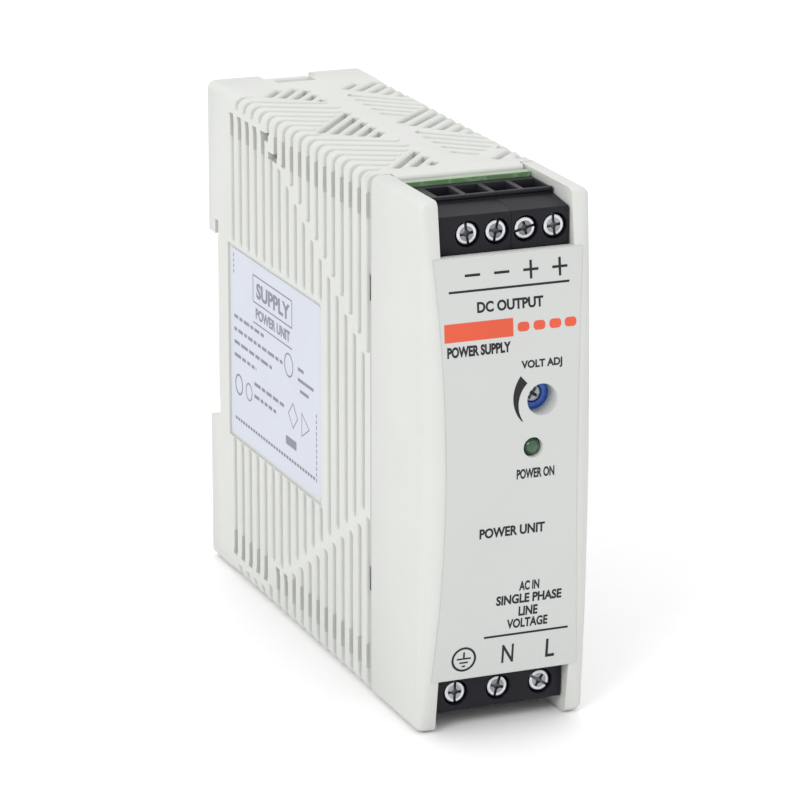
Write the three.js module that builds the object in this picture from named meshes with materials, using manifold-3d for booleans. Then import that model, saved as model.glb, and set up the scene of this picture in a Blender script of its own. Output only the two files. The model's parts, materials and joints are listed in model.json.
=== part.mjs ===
// A 30 mm wide DIN rail power supply: a ribbed tube housing with a snap-on front cover, rising-clamp
// terminals at the top and bottom of the front, two circuit boards inside, and a sprung rail latch.
//
// Frame: +Z up, +Y from the front cover to the rail, +X to the right as seen from the front. The origin is
// the middle of the bounding box's bottom. The pieces are built in a group whose y = 0 is the front edge of
// the cover's ears, so that every y below is a depth behind that edge.
import * as THREE from 'three';
import { mergeVertices } from 'three/addons/utils/BufferGeometryUtils.js';
import Module from 'manifold-3d';

const wasm = await Module();
wasm.setup();

// Overall sizes, in millimetres.
const WIDTH = 30;
const HEIGHT = 90;
const BODY_DEPTH = 100;
const FRONT_BULGE = 4;
const HALF_WIDTH = WIDTH / 2;
const MID_HEIGHT = HEIGHT / 2;

// Clearance between pieces that touch or slide on each other.
const GAP = 0.3;

// Shell.
const WALL = 1.9;
const EDGE_RADIUS = 1.4;
const END_STATIONS = [0, 0.12, 0.4, 0.8];
const STATION_PITCH = 5.25;
const COVER_BACK = 20.1;
const HOUSING_FRONT = 20.4;
const CAVITY_BACK = 91.5;
const INNER_HALF_WIDTH = HALF_WIDTH - WALL;

// Front cover: bowed front, ears beside the terminals, and side fillets that widen at mid height.
const OVERLAY_THICKNESS = 0.25;
const OVERLAY_GAP = 0.01;
const COVER_BULGE = FRONT_BULGE - OVERLAY_THICKNESS - OVERLAY_GAP;
const PANEL_THICKNESS = 1.4;
const PANEL_TOP = 80.9;
const PANEL_BOTTOM = 9.1;
const FILLET_AT_ENDS = 1.1;
const FILLET_AT_MIDDLE = 3.5;
const EAR_TIP_RADIUS = 1;
const EAR_INNER = 11.7;
const LIP_FRONT = 18.4;
const LIP_CHAMFER = 0.7;
const SNAP_HEIGHTS = [20.2, 70.8];
const SNAP_HEIGHT = 5;
const TONGUE = { gap: 0.1, start: 1.5, reach: 4.5, hook: 1, hookDepth: 0.5 };
const COVER_HOLLOW = { bottom: 11, top: 79, back: 15 };

// Rail seat at the back, for a 35 mm top-hat rail with a 1 mm flange.
const SEAT_DEPTH = 5;
const SEAT_Y = BODY_DEPTH - SEAT_DEPTH;
const NOTCH_BOTTOM = 28.6;
const NOTCH_TOP = 62.4;
const SEAT_BOTTOM = 32;
const SEAT_RELIEF = 0.3;
const HOOK_SLOT_TOP = 65.1;
const HOOK_SLOT_BACK = SEAT_Y + 1.3;

// Latch channel, latch and spring.
const CHANNEL_HALF_WIDTH = 5.2;
const CHANNEL_FRONT = 95.4;
const CHANNEL_BACK = 98.5;
const LATCH_BOTTOM = 0.6;
const LATCH_TOP = 29.4;
const NOSE_TOP = 31.6;
const NOSE_FRONT = 96.3;
const SPRING_WINDOW = { halfWidth: 2, bottom: 10, top: 24 };
const SPRING_SEAT = { halfWidth: 1.7, back: 97.9, bottom: 10.3, top: 12.3 };
const RELEASE_SLOT = { halfWidth: 2.6, bottom: 3, top: 5.2 };
const CHANNEL_MOUTH_HALF_WIDTH = 3.6;
const SPRING_RADIUS = 0.85;
const SPRING_WIRE = 0.22;
const SPRING_TURNS = 8;

// Side ribs: groove pitch, and the vents cut through the side walls at the ends of the grooves.
const GROOVE_PITCH = 3.94;
const VENT_WIDTH = 1.9;
const VENT_ROWS = [[3.8, 8.2], [82.3, 86.6]];
const REAR_VENTS = { last: 87.1, count: 5 };
const FRONT_VENTS = { last: 65.05, count: 12 };
const SPINE_VENT = { first: 28, count: 8, columns: [-1.4, 4], halfWidth: 0.8, halfDepth: 1 };
const TOP_RECESS = { left: -4.4, right: 5.6, front: 93, depth: 0.8 };
const LABEL = { front: 44, back: 89, bottom: 27.4, top: 61.6, thickness: 0.2, margin: 0.7, recess: 0.45 };

// Terminals. Depths are measured from each block's own front face.
const BLOCK_TOP = 88.9;
const BLOCK_BOTTOM = 77.4;
const BLOCK_BACK = 15.3;
const BEVEL_START = 87.2;
const BEVEL_END = 88;
const BEVEL_DEPTH = 6;
const SCREW_HEIGHT = 84.1;
const OUTPUT = { front: 0.3, pitch: 5.08, middle: 1.3, mouthHalfWidth: 2.1 };
const SEAM_GAP = 0.03;
const INPUT = { front: 1, pitch: 7.62, middle: 0, mouthHalfWidth: 2.9 };
const SCREW_HEAD = { radius: 1.9, recess: 0.3, thickness: 1.7 };
const SCREW_HOLE_RADIUS = 2.2;
const SHOULDER = { front: 2.2, back: 2.9, holeRadius: 1.45 };
const SHAFT = { radius: 1.2, end: 7.4 };
const CLAMP = {
  front: 6.1, back: 13.6, frontWall: 1.4, backWall: 0.8, halfWidth: 2.1, side: 0.4, halfHeight: 2.5,
};
const MOUTH = { front: 8.1, back: 13.2 };
const CONTACT = {
  front: 7.9, thickness: 0.7, halfWidth: 1.4, bottom: 79.9, top: 86.4, tail: { halfWidth: 0.6, height: 0.8 },
};

// Circuit boards.
const BOARD_THICKNESS = 1.6;
const FRONT_BOARD = { y: 15.6, bottom: 2, top: 89.5, halfWidth: 11.4 };
const MAIN_BOARD = { x: -11.4, front: 21.6, back: 89, bottom: 5, top: 85 };
const BOARD_FACE = MAIN_BOARD.x + BOARD_THICKNESS;
const STAND_OFF = 0.1;
const MOUNT_X = BOARD_FACE + STAND_OFF;

// Trimmer and indicator, behind their holes in the front.
const TRIMMER = { x: 5.3, z: 56.4, holeRadius: 2.45, body: 8, front: 0.1, back: 5.4 };
const ROTOR = { radius: 1.4, pocket: 1.6, depth: 1.3, thickness: 1, slotHalfLength: 1.1 };
const LED = { x: 3.7, z: 48.5, holeRadius: 1.6, radius: 1.45, flange: 1.9, tip: -4, seat: 0.6 };
const LEAD_END = FRONT_BOARD.y - GAP;

const SEGMENTS = 20;

function material(colour, roughness, metalness) {
  return new THREE.MeshStandardMaterial({ color: colour, roughness, metalness });
}

const FINISH = {
  shell: () => material(0xe5e7e2, 0.55, 0),
  overlay: () => material(0xdddfde, 0.5, 0),
  paper: () => material(0xd6dae6, 0.6, 0),
  terminal: () => material(0x34343c, 0.5, 0),
  zinc: () => material(0xc9ccd0, 0.25, 1),
  copper: () => material(0xc8a06a, 0.3, 1),
  board: () => material(0x3f7a45, 0.5, 0),
  blue: () => material(0x2343a0, 0.4, 0),
  rotor: () => material(0xd8d8d4, 0.4, 0),
  lens: () => material(0x3f8a52, 0.2, 0),
  ferrite: () => material(0x3a3a3c, 0.8, 0),
  bobbin: () => material(0x26262a, 0.6, 0),
  winding: () => material(0xd9b23a, 0.5, 0),
  sleeve: () => material(0x20242e, 0.4, 0),
  filmCase: () => material(0xd8b13c, 0.5, 0),
  ceramic: () => material(0x2f5fa8, 0.5, 0),
  epoxy: () => material(0x1b1b1d, 0.6, 0),
  glassTube: () => material(0x6a4a36, 0.3, 0),
  aluminium: () => material(0xb9bcc0, 0.4, 1),
  steel: () => material(0xb4b6ba, 0.3, 1),
  latch: () => material(0x2c2d31, 0.5, 0),
};

// Solids: three.js geometry in, manifold booleans, geometry out.

function toSolid(geometry) {
  const bare = geometry.clone();
  bare.deleteAttribute('normal');
  bare.deleteAttribute('uv');
  const merged = mergeVertices(bare, 1e-4);
  const index = merged.index.array;
  const triangles = [];
  for (let i = 0; i < index.length; i += 3) {
    const [a, b, c] = [index[i], index[i + 1], index[i + 2]];
    if (a !== b && b !== c && c !== a) triangles.push(a, b, c);
  }
  return new wasm.Manifold(new wasm.Mesh({
    numProp: 3,
    vertProperties: new Float32Array(merged.attributes.position.array),
    triVerts: new Uint32Array(triangles),
  }));
}

function toGeometry(solid) {
  const mesh = solid.getMesh();
  const geometry = new THREE.BufferGeometry();
  geometry.setAttribute('position', new THREE.BufferAttribute(new Float32Array(mesh.vertProperties), 3));
  geometry.setIndex(new THREE.BufferAttribute(new Uint32Array(mesh.triVerts), 1));
  geometry.computeVertexNormals();
  return geometry;
}

function box(x0, x1, y0, y1, z0, z1) {
  const geometry = new THREE.BoxGeometry(x1 - x0, y1 - y0, z1 - z0);
  geometry.translate((x0 + x1) / 2, (y0 + y1) / 2, (z0 + z1) / 2);
  return toSolid(geometry);
}

function shapeFrom(points) {
  return new THREE.Shape(points.map(([u, v]) => new THREE.Vector2(u, v)));
}

function extrude(shape, depth, curveSegments = 6) {
  return new THREE.ExtrudeGeometry(shape, { depth, bevelEnabled: false, curveSegments });
}

// A profile of [y, z] points, extruded along X.
function prismX(points, x0, x1) {
  const geometry = extrude(shapeFrom(points), x1 - x0);
  const axes = [new THREE.Vector3(0, 1, 0), new THREE.Vector3(0, 0, 1), new THREE.Vector3(1, 0, 0)];
  geometry.applyMatrix4(new THREE.Matrix4().makeBasis(...axes).setPosition(x0, 0, 0));
  return toSolid(geometry);
}

// A shape in x and z, extruded along Y.
function prismY(shape, y0, y1) {
  const geometry = extrude(shape, y1 - y0);
  const axes = [new THREE.Vector3(1, 0, 0), new THREE.Vector3(0, 0, 1), new THREE.Vector3(0, -1, 0)];
  geometry.applyMatrix4(new THREE.Matrix4().makeBasis(...axes).setPosition(0, y1, 0));
  return toSolid(geometry);
}

function cylinderY(x, z, radius, y0, y1, segments = SEGMENTS) {
  const geometry = new THREE.CylinderGeometry(radius, radius, y1 - y0, segments);
  geometry.translate(x, (y0 + y1) / 2, z);
  return toSolid(geometry);
}

function roundedRectangle(x0, x1, z0, z1, radius) {
  const shape = new THREE.Shape();
  shape.moveTo(x0 + radius, z0);
  shape.lineTo(x1 - radius, z0);
  shape.absarc(x1 - radius, z0 + radius, radius, -Math.PI / 2, 0);
  shape.lineTo(x1, z1 - radius);
  shape.absarc(x1 - radius, z1 - radius, radius, 0, Math.PI / 2);
  shape.lineTo(x0 + radius, z1);
  shape.absarc(x0 + radius, z1 - radius, radius, Math.PI / 2, Math.PI);
  shape.lineTo(x0, z0 + radius);
  shape.absarc(x0 + radius, z0 + radius, radius, Math.PI, Math.PI * 1.5);
  return shape;
}

// Joins rings of equal point count, each counterclockwise from above and stacked upwards, into a solid.
function loft(rings) {
  const count = rings[0].length;
  const positions = rings.flat().flatMap((point) => point.toArray());
  const index = [];
  for (let ring = 0; ring < rings.length - 1; ring += 1) {
    for (let i = 0; i < count; i += 1) {
      const a = ring * count + i;
      const b = ring * count + ((i + 1) % count);
      index.push(a, b, b + count, a, b + count, a + count);
    }
  }
  const outline = rings[0].map((point) => new THREE.Vector2(point.x, point.y));
  const top = (rings.length - 1) * count;
  for (const [a, b, c] of THREE.ShapeUtils.triangulateShape(outline, [])) {
    index.push(c, b, a, top + a, top + b, top + c);
  }
  const geometry = new THREE.BufferGeometry();
  geometry.setAttribute('position', new THREE.Float32BufferAttribute(positions, 3));
  geometry.setIndex(index);
  return toSolid(geometry);
}

function join(solids) {
  return solids.reduce((whole, piece) => whole.add(piece));
}

function cut(solid, tools) {
  return solid.subtract(join(tools));
}

// The model: a group whose y = 0 is the front edge of the ears.
const assembly = new THREE.Group();
assembly.position.y = -(BODY_DEPTH - FRONT_BULGE) / 2;

function place(name, geometry, finish, x = 0, y = 0, z = 0) {
  const mesh = new THREE.Mesh(geometry, FINISH[finish]());
  mesh.name = name;
  mesh.position.set(x, y, z);
  assembly.add(mesh);
  return mesh;
}

function placeSolid(name, solid, finish, x = 0, y = 0, z = 0) {
  return place(name, toGeometry(solid), finish, x, y, z);
}

// Front cover.

// 0 at the top and bottom of the front, 1 at mid height.
function bow(z) {
  return 1 - ((z - MID_HEIGHT) / MID_HEIGHT) ** 2;
}

function coverFront(z) {
  return -COVER_BULGE * bow(z);
}

function filletRadius(z) {
  return FILLET_AT_ENDS + (FILLET_AT_MIDDLE - FILLET_AT_ENDS) * bow(z);
}

// How far a rounded end of this radius has drawn in at a height, measured from the nearer end.
function roundOff(z, radius) {
  const fromEnd = Math.min(z, HEIGHT - z);
  if (fromEnd >= radius) return 0;
  return radius - Math.sqrt(radius ** 2 - (radius - fromEnd) ** 2);
}

function coverRing(z) {
  const side = HALF_WIDTH - roundOff(z, EDGE_RADIUS);
  const front = coverFront(z) + roundOff(z, EAR_TIP_RADIUS);
  const radius = filletRadius(z);
  const steps = 6;
  const ring = [new THREE.Vector3(side, COVER_BACK, z), new THREE.Vector3(-side, COVER_BACK, z)];
  for (const sign of [-1, 1]) {
    for (let i = 0; i <= steps; i += 1) {
      const turn = (sign < 0 ? i : steps - i) / steps * Math.PI / 2;
      const x = sign * (side - radius + radius * Math.cos(turn));
      ring.push(new THREE.Vector3(x, front + radius - radius * Math.sin(turn), z));
    }
  }
  return ring;
}

function heights(from, to, step) {
  const count = Math.round((to - from) / step);
  return Array.from({ length: count + 1 }, (_, i) => from + (to - from) * i / count);
}

// Heights of the bowed panel's facets, which the film over it shares.
function panelStations() {
  return heights(PANEL_BOTTOM + 0.2, PANEL_TOP - 0.1, STATION_PITCH);
}

// The region behind the front panel, between two heights, back to a plane.
function behindPanel(z0, z1, back, halfWidth) {
  const points = heights(z0, z1, 6).map((z) => [coverFront(z) + PANEL_THICKNESS, z]);
  return prismX([...points, [back, z1], [back, z0]].reverse(), -halfWidth, halfWidth);
}

// The span from near to far on the right, or the same span mirrored to the left.
function mirrored(near, far, side) {
  return side > 0 ? [near, far] : [-far, -near];
}

function snapTongue(side, z) {
  const halfHeight = SNAP_HEIGHT / 2 - GAP;
  const inner = EAR_INNER + TONGUE.gap;
  const outer = INNER_HALF_WIDTH - GAP;
  const hook = HOUSING_FRONT + GAP;
  const spans = [
    [inner, outer, LIP_FRONT - TONGUE.start, HOUSING_FRONT + TONGUE.reach],
    [inner, outer + TONGUE.hook, hook, hook + TONGUE.hookDepth],
  ];
  return join(spans.map(([near, far, y0, y1]) => {
    const [x0, x1] = mirrored(near, far, side);
    return box(x0, x1, y0, y1, z - halfHeight, z + halfHeight);
  }));
}

function buildCover() {
  const stations = [
    ...END_STATIONS,
    EDGE_RADIUS,
    PANEL_BOTTOM / 2,
    ...panelStations(),
    (PANEL_TOP + HEIGHT) / 2,
    HEIGHT - EDGE_RADIUS,
    ...END_STATIONS.map((z) => HEIGHT - z).reverse(),
  ];
  const outside = loft(stations.map(coverRing));
  const { bottom, top, back } = COVER_HOLLOW;
  const hollow = cut(outside, [
    behindPanel(bottom, top, back, INNER_HALF_WIDTH),
    behindPanel(-1, HEIGHT + 1, COVER_BACK + 1, EAR_INNER),
    box(-INNER_HALF_WIDTH, INNER_HALF_WIDTH, LIP_FRONT, COVER_BACK + 1, WALL, HEIGHT - WALL),
    box(-EAR_INNER, EAR_INNER, -FRONT_BULGE - 1, 5, PANEL_TOP, HEIGHT + 1),
    box(-EAR_INNER, EAR_INNER, -FRONT_BULGE - 1, 5, -1, PANEL_BOTTOM),
    cylinderY(TRIMMER.x, TRIMMER.z, TRIMMER.holeRadius, -FRONT_BULGE - 1, 0, 24),
    cylinderY(LED.x, LED.z, LED.holeRadius, -FRONT_BULGE - 1, 0, 16),
  ]);
  const tongues = [-1, 1].flatMap((side) => SNAP_HEIGHTS.map((z) => snapTongue(side, z)));
  return join([hollow, ...tongues]);
}

// A printed film over the bowed panel. Its sides follow the start of the cover's fillets.
function buildOverlay() {
  const rings = panelStations().map((z) => {
    const side = HALF_WIDTH - filletRadius(z);
    const back = coverFront(z) - OVERLAY_GAP;
    const front = back - OVERLAY_THICKNESS;
    return [[side, back], [-side, back], [-side, front], [side, front]]
      .map(([x, y]) => new THREE.Vector3(x, y, z));
  });
  return cut(loft(rings), [
    cylinderY(TRIMMER.x, TRIMMER.z, TRIMMER.holeRadius + 0.05, -FRONT_BULGE - 1, 0, 24),
    cylinderY(LED.x, LED.z, LED.holeRadius + 0.05, -FRONT_BULGE - 1, 0, 16),
  ]);
}

// Housing.

function ventCuts() {
  const rows = [REAR_VENTS, FRONT_VENTS].flatMap(({ last, count }) =>
    Array.from({ length: count }, (_, i) => last - i * GROOVE_PITCH));
  return rows.flatMap((y) => VENT_ROWS.flatMap(([z0, z1]) => [-1, 1].map((side) => {
    const [x0, x1] = mirrored(INNER_HALF_WIDTH - 1, HALF_WIDTH + 1, side);
    return box(x0, x1, y - VENT_WIDTH / 2, y + VENT_WIDTH / 2, z0, z1);
  })));
}

// Small vents through the top and bottom walls, in a row on each side of the central spine.
function spineVents() {
  const { first, count, columns, halfWidth, halfDepth } = SPINE_VENT;
  const rows = Array.from({ length: count }, (_, i) => first + 2 * i * GROOVE_PITCH);
  return rows.flatMap((y) => columns.flatMap((x) => [-1, HEIGHT - WALL - 1].map((z) =>
    box(x - halfWidth, x + halfWidth, y - halfDepth, y + halfDepth, z, z + WALL + 2))));
}

function snapWindows() {
  return SNAP_HEIGHTS.flatMap((z) => [-1, 1].map((side) => {
    const [x0, x1] = mirrored(INNER_HALF_WIDTH - 1, HALF_WIDTH + 1, side);
    return box(x0, x1, HOUSING_FRONT - 1, HOUSING_FRONT + 1, z - SNAP_HEIGHT / 2, z + SNAP_HEIGHT / 2);
  }));
}

function railCuts() {
  const side = HALF_WIDTH + 1;
  const back = BODY_DEPTH + 1;
  const relief = SEAT_Y - SEAT_RELIEF;
  const mouth = CHANNEL_MOUTH_HALF_WIDTH;
  return [
    box(-side, side, SEAT_Y, back, NOTCH_BOTTOM, NOTCH_TOP),
    box(-side, side, relief, back, NOTCH_BOTTOM, SEAT_BOTTOM),
    box(-side, side, relief, HOOK_SLOT_BACK, NOTCH_TOP - 0.1, HOOK_SLOT_TOP),
    box(-CHANNEL_HALF_WIDTH, CHANNEL_HALF_WIDTH, CHANNEL_FRONT, CHANNEL_BACK, -1, NOTCH_BOTTOM + 1),
    box(-mouth, mouth, CHANNEL_BACK - 1, back, -1, NOTCH_BOTTOM + 1),
  ];
}

// Hollows in the foot behind the cavity, above the hook slot and on each side of the latch channel.
function footPockets() {
  const back = BODY_DEPTH - WALL;
  const side = INNER_HALF_WIDTH;
  const channelSide = CHANNEL_HALF_WIDTH + WALL;
  const low = NOTCH_BOTTOM - WALL;
  return [
    box(-side, side, CAVITY_BACK - 1, back, HOOK_SLOT_TOP + WALL, HEIGHT - WALL),
    box(-side, -channelSide, CAVITY_BACK - 1, back, WALL, low),
    box(channelSide, side, CAVITY_BACK - 1, back, WALL, low),
  ];
}

// The beam between a pair of ears, with its outer front edge chamfered.
function buildLip(edge, inwards) {
  const back = HOUSING_FRONT + 1;
  const inside = edge + inwards * WALL;
  return prismX([
    [LIP_FRONT, inside], [back, inside], [back, edge], [LIP_FRONT + LIP_CHAMFER, edge],
    [LIP_FRONT, edge + inwards * LIP_CHAMFER],
  ], GAP - EAR_INNER, EAR_INNER - GAP);
}

function buildHousing() {
  const outline = roundedRectangle(-HALF_WIDTH, HALF_WIDTH, 0, HEIGHT, EDGE_RADIUS);
  const outside = prismY(outline, HOUSING_FRONT, BODY_DEPTH);
  const side = INNER_HALF_WIDTH;
  const cavity = box(-side, side, HOUSING_FRONT - 1, CAVITY_BACK, WALL, HEIGHT - WALL);
  const { margin } = LABEL;
  const labelRecess = box(
    -HALF_WIDTH - 1, -HALF_WIDTH + LABEL.recess,
    LABEL.front - margin, LABEL.back + margin, LABEL.bottom - margin, LABEL.top + margin,
  );
  const { left, right, front, depth } = TOP_RECESS;
  const topRecess = box(left, right, front, BODY_DEPTH + 1, HEIGHT - depth, HEIGHT + 1);
  const openings = [...footPockets(), ...railCuts(), ...snapWindows(), ...ventCuts(), ...spineVents()];
  const shell = cut(outside, [cavity, labelRecess, topRecess, ...openings]);
  const lips = [[0, 1], [HEIGHT, -1]].map(([edge, inwards]) => buildLip(edge, inwards));
  const { halfWidth, back, bottom, top } = SPRING_SEAT;
  const seat = box(-halfWidth, halfWidth, CHANNEL_FRONT - 1, back, bottom, top);
  return join([shell, ...lips, seat]);
}

// Rail latch and its spring.

function buildLatch() {
  const front = CHANNEL_FRONT + GAP;
  const back = CHANNEL_BACK - GAP;
  const side = CHANNEL_HALF_WIDTH - GAP;
  const profile = [
    [front, LATCH_BOTTOM], [back, LATCH_BOTTOM], [back, LATCH_TOP], [NOSE_FRONT + 0.5, NOSE_TOP],
    [NOSE_FRONT, NOSE_TOP], [NOSE_FRONT, LATCH_TOP], [front, LATCH_TOP],
  ];
  const window = SPRING_WINDOW;
  const slot = RELEASE_SLOT;
  return cut(prismX(profile, -side, side), [
    box(-window.halfWidth, window.halfWidth, front - 1, back + 1, window.bottom, window.top),
    box(-slot.halfWidth, slot.halfWidth, front - 1, back + 1, slot.bottom, slot.top),
  ]);
}

class Helix extends THREE.Curve {
  constructor(radius, bottom, top, turns) {
    super();
    Object.assign(this, { radius, bottom, top, turns });
  }

  getPoint(t, target = new THREE.Vector3()) {
    const angle = t * this.turns * Math.PI * 2;
    const z = this.bottom + (this.top - this.bottom) * t;
    return target.set(this.radius * Math.cos(angle), this.radius * Math.sin(angle), z);
  }
}

function buildSpring() {
  const wire = new THREE.Shape();
  wire.absarc(0, 0, SPRING_WIRE, 0, Math.PI * 2);
  const gap = SPRING_WIRE + 0.1;
  const path = new Helix(SPRING_RADIUS, SPRING_SEAT.top + gap, SPRING_WINDOW.top - gap, SPRING_TURNS);
  const steps = SPRING_TURNS * 8;
  return toSolid(new THREE.ExtrudeGeometry(wire, { steps, extrudePath: path, curveSegments: 3 }));
}

// Terminals, built with the wire mouths upwards.

// A terminal block from x0 to x1 with a pole at each of xs. Its y = 0 is its own front face.
function buildBlock(x0, x1, xs, block) {
  const depth = BLOCK_BACK - block.front;
  const profile = [
    [0, BLOCK_BOTTOM], [depth, BLOCK_BOTTOM], [depth, BLOCK_TOP], [BEVEL_DEPTH + 0.1, BLOCK_TOP],
    [BEVEL_DEPTH, BEVEL_END], [0, BEVEL_START],
  ];
  const clampTop = SCREW_HEIGHT + CLAMP.halfHeight + GAP;
  const clampBottom = SCREW_HEIGHT - CLAMP.halfHeight - GAP;
  const roomBack = CLAMP.back + GAP;
  const roomSide = CLAMP.halfWidth + 0.2;
  const mouth = block.mouthHalfWidth;
  const slotSide = CONTACT.halfWidth + GAP;
  const slotFront = CONTACT.front - GAP;
  const slotBottom = CONTACT.bottom - GAP;
  const slotTop = CONTACT.bottom + CONTACT.tail.height + GAP;
  const cuts = xs.flatMap((x) => [
    cylinderY(x, SCREW_HEIGHT, SCREW_HOLE_RADIUS, -1, SHOULDER.front),
    cylinderY(x, SCREW_HEIGHT, SHOULDER.holeRadius, -1, SHOULDER.back + 1, 12),
    box(x - roomSide, x + roomSide, SHOULDER.back, roomBack, clampBottom, clampTop),
    box(x - mouth, x + mouth, MOUTH.front, MOUTH.back, clampTop - 1, BLOCK_TOP + 1),
    box(x - slotSide, x + slotSide, slotFront, depth + 1, slotBottom, slotTop),
    box(x - slotSide, x + slotSide, slotFront, CONTACT.front + 1, slotBottom, clampBottom + 1),
  ]);
  return cut(prismX(profile, x0, x1), cuts);
}

function buildScrew() {
  const { radius, recess, thickness } = SCREW_HEAD;
  const solid = cylinderY(0, 0, radius, recess, recess + thickness)
    .add(cylinderY(0, 0, SHAFT.radius, recess + 0.5, SHAFT.end, 12));
  const slotDepth = recess + 0.7;
  return cut(solid, [
    box(-radius - 1, radius + 1, recess - 1, slotDepth, -0.25, 0.25),
    box(-0.25, 0.25, recess - 1, slotDepth, -1.15, 1.15),
  ]);
}

function buildClamp() {
  const { front, back, frontWall, backWall, halfWidth, side, halfHeight } = CLAMP;
  const inside = halfWidth - side;
  const beyond = halfHeight + 1;
  return cut(box(-halfWidth, halfWidth, front, back, -halfHeight, halfHeight), [
    box(-inside, inside, front + frontWall, back - backWall, -beyond, beyond),
    cylinderY(0, 0, SHAFT.radius + 0.2, front - 1, front + frontWall + 0.5, 16),
  ]);
}

// A contact plate that the clamp pulls the wire against, with a tail back to the front board.
function buildContact(block) {
  const { front, thickness, halfWidth, tail } = CONTACT;
  const [bottom, top] = [CONTACT.bottom - SCREW_HEIGHT, CONTACT.top - SCREW_HEIGHT];
  const tailEnd = LEAD_END - block.front;
  const plate = box(-halfWidth, halfWidth, front, front + thickness, bottom, top);
  const lead = box(-tail.halfWidth, tail.halfWidth, front, tailEnd, bottom, bottom + tail.height);
  return plate.add(lead);
}

function poles(count, { pitch, middle }) {
  return Array.from({ length: count }, (_, i) => middle + (i - (count - 1) / 2) * pitch);
}

function addTerminals() {
  const outputs = poles(4, OUTPUT);
  const inputs = poles(3, INPUT);
  const side = EAR_INNER - GAP;
  const seam = OUTPUT.middle;
  const halves = [
    ['output_terminal_left', -side, seam - SEAM_GAP, outputs.slice(0, 2)],
    ['output_terminal_right', seam + SEAM_GAP, side, outputs.slice(2)],
  ];
  for (const [name, x0, x1, xs] of halves) {
    placeSolid(name, buildBlock(x0, x1, xs, OUTPUT), 'terminal', 0, OUTPUT.front, 0);
  }
  const inputBlock = buildBlock(-side, side, inputs, INPUT);
  placeSolid('input_terminal', inputBlock, 'terminal', 0, INPUT.front, HEIGHT).rotation.y = Math.PI;

  const screw = toGeometry(buildScrew());
  const clamp = toGeometry(buildClamp());
  const rows = [
    { row: 'output', xs: outputs, block: OUTPUT, z: SCREW_HEIGHT, turn: 0 },
    { row: 'input', xs: inputs, block: INPUT, z: HEIGHT - SCREW_HEIGHT, turn: Math.PI },
  ];
  for (const { row, xs, block, z, turn } of rows) {
    const contact = toGeometry(buildContact(block));
    xs.forEach((x, i) => {
      const pieces = [['screw', screw, 'zinc'], ['clamp', clamp, 'zinc'], ['contact', contact, 'copper']];
      for (const [kind, geometry, finish] of pieces) {
        place(`${row}_${kind}_${i + 1}`, geometry, finish, x, block.front, z).rotation.y = turn;
      }
    });
  }
}

// Boards, trimmer and indicator.

function buildTrimmerBody() {
  const { body, front, back } = TRIMMER;
  const half = body / 2;
  const legs = [[-2.5, -3], [2.5, -3], [0, 3]].map(([x, z]) =>
    box(x - 0.3, x + 0.3, back - 0.5, LEAD_END, z - 0.3, z + 0.3));
  const block = box(-half, half, front, back, -half, half);
  return join([cut(block, [cylinderY(0, 0, ROTOR.pocket, front - 1, front + ROTOR.depth)]), ...legs]);
}

function buildRotor() {
  const front = TRIMMER.front + ROTOR.depth - GAP / 2 - ROTOR.thickness;
  const arm = ROTOR.slotHalfLength;
  const slot = front + 0.6;
  return cut(cylinderY(0, 0, ROTOR.radius, front, front + ROTOR.thickness), [
    box(-arm, arm, front - 1, slot, -0.28, 0.28),
    box(-0.28, 0.28, front - 1, slot, -arm, arm),
  ]);
}

// A 3 mm indicator: domed lens and flange turned about its axis, with two leads to the front board.
function buildLed() {
  const { radius, flange, tip, seat } = LED;
  const dome = Array.from({ length: 5 }, (_, i) => {
    const turn = i / 4 * Math.PI / 2;
    return new THREE.Vector2(radius * Math.sin(turn), tip + radius * (1 - Math.cos(turn)));
  });
  dome[0].x = 0;
  const rim = [[radius, seat - 1], [flange, seat - 1], [flange, seat], [0, seat]]
    .map(([x, y]) => new THREE.Vector2(x, y));
  const lens = toSolid(new THREE.LatheGeometry([...dome, ...rim], 16));
  const leads = [-1.27, 1.27].map((x) => box(x - 0.25, x + 0.25, seat - 0.5, LEAD_END, -0.25, 0.25));
  return join([lens, ...leads]);
}

function addBoards() {
  const front = FRONT_BOARD;
  const main = MAIN_BOARD;
  placeSolid('front_board', box(-front.halfWidth, front.halfWidth, front.y, front.y + BOARD_THICKNESS,
    front.bottom, front.top), 'board');
  placeSolid('main_board', box(main.x, BOARD_FACE, main.front, main.back, main.bottom, main.top), 'board');
  placeSolid('board_header', box(MOUNT_X, MOUNT_X + 3, 17.5, 25, 38, 58), 'epoxy');
  placeSolid('trimmer_body', buildTrimmerBody(), 'blue', TRIMMER.x, 0, TRIMMER.z);
  placeSolid('trimmer_rotor', buildRotor(), 'rotor', TRIMMER.x, 0, TRIMMER.z);
  placeSolid('indicator_led', buildLed(), 'lens', LED.x, 0, LED.z);
}

// Parts on the main board. They stand on its +X face; the mains side is at the bottom.

// A part turned about an axis along X, standing on the board, from [distance from the board, radius] pairs.
function turnedOnBoard(outline, segments = SEGMENTS) {
  const points = outline.map(([height, radius]) => new THREE.Vector2(radius, -height)).reverse();
  const geometry = new THREE.LatheGeometry(points, segments);
  geometry.rotateZ(Math.PI / 2);
  return geometry;
}

// An electrolytic can: rolled groove near its foot, chamfered shoulder and a sunk lid.
function canOutline(length, radius) {
  return [
    [0, 0], [0, radius - 0.3], [0.4, radius], [1.6, radius], [2, radius - 0.4], [2.4, radius],
    [length - 0.5, radius], [length, radius - 0.6], [length, radius - 1.4], [length - 0.3, radius - 1.6],
    [length - 0.3, 0],
  ];
}

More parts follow.
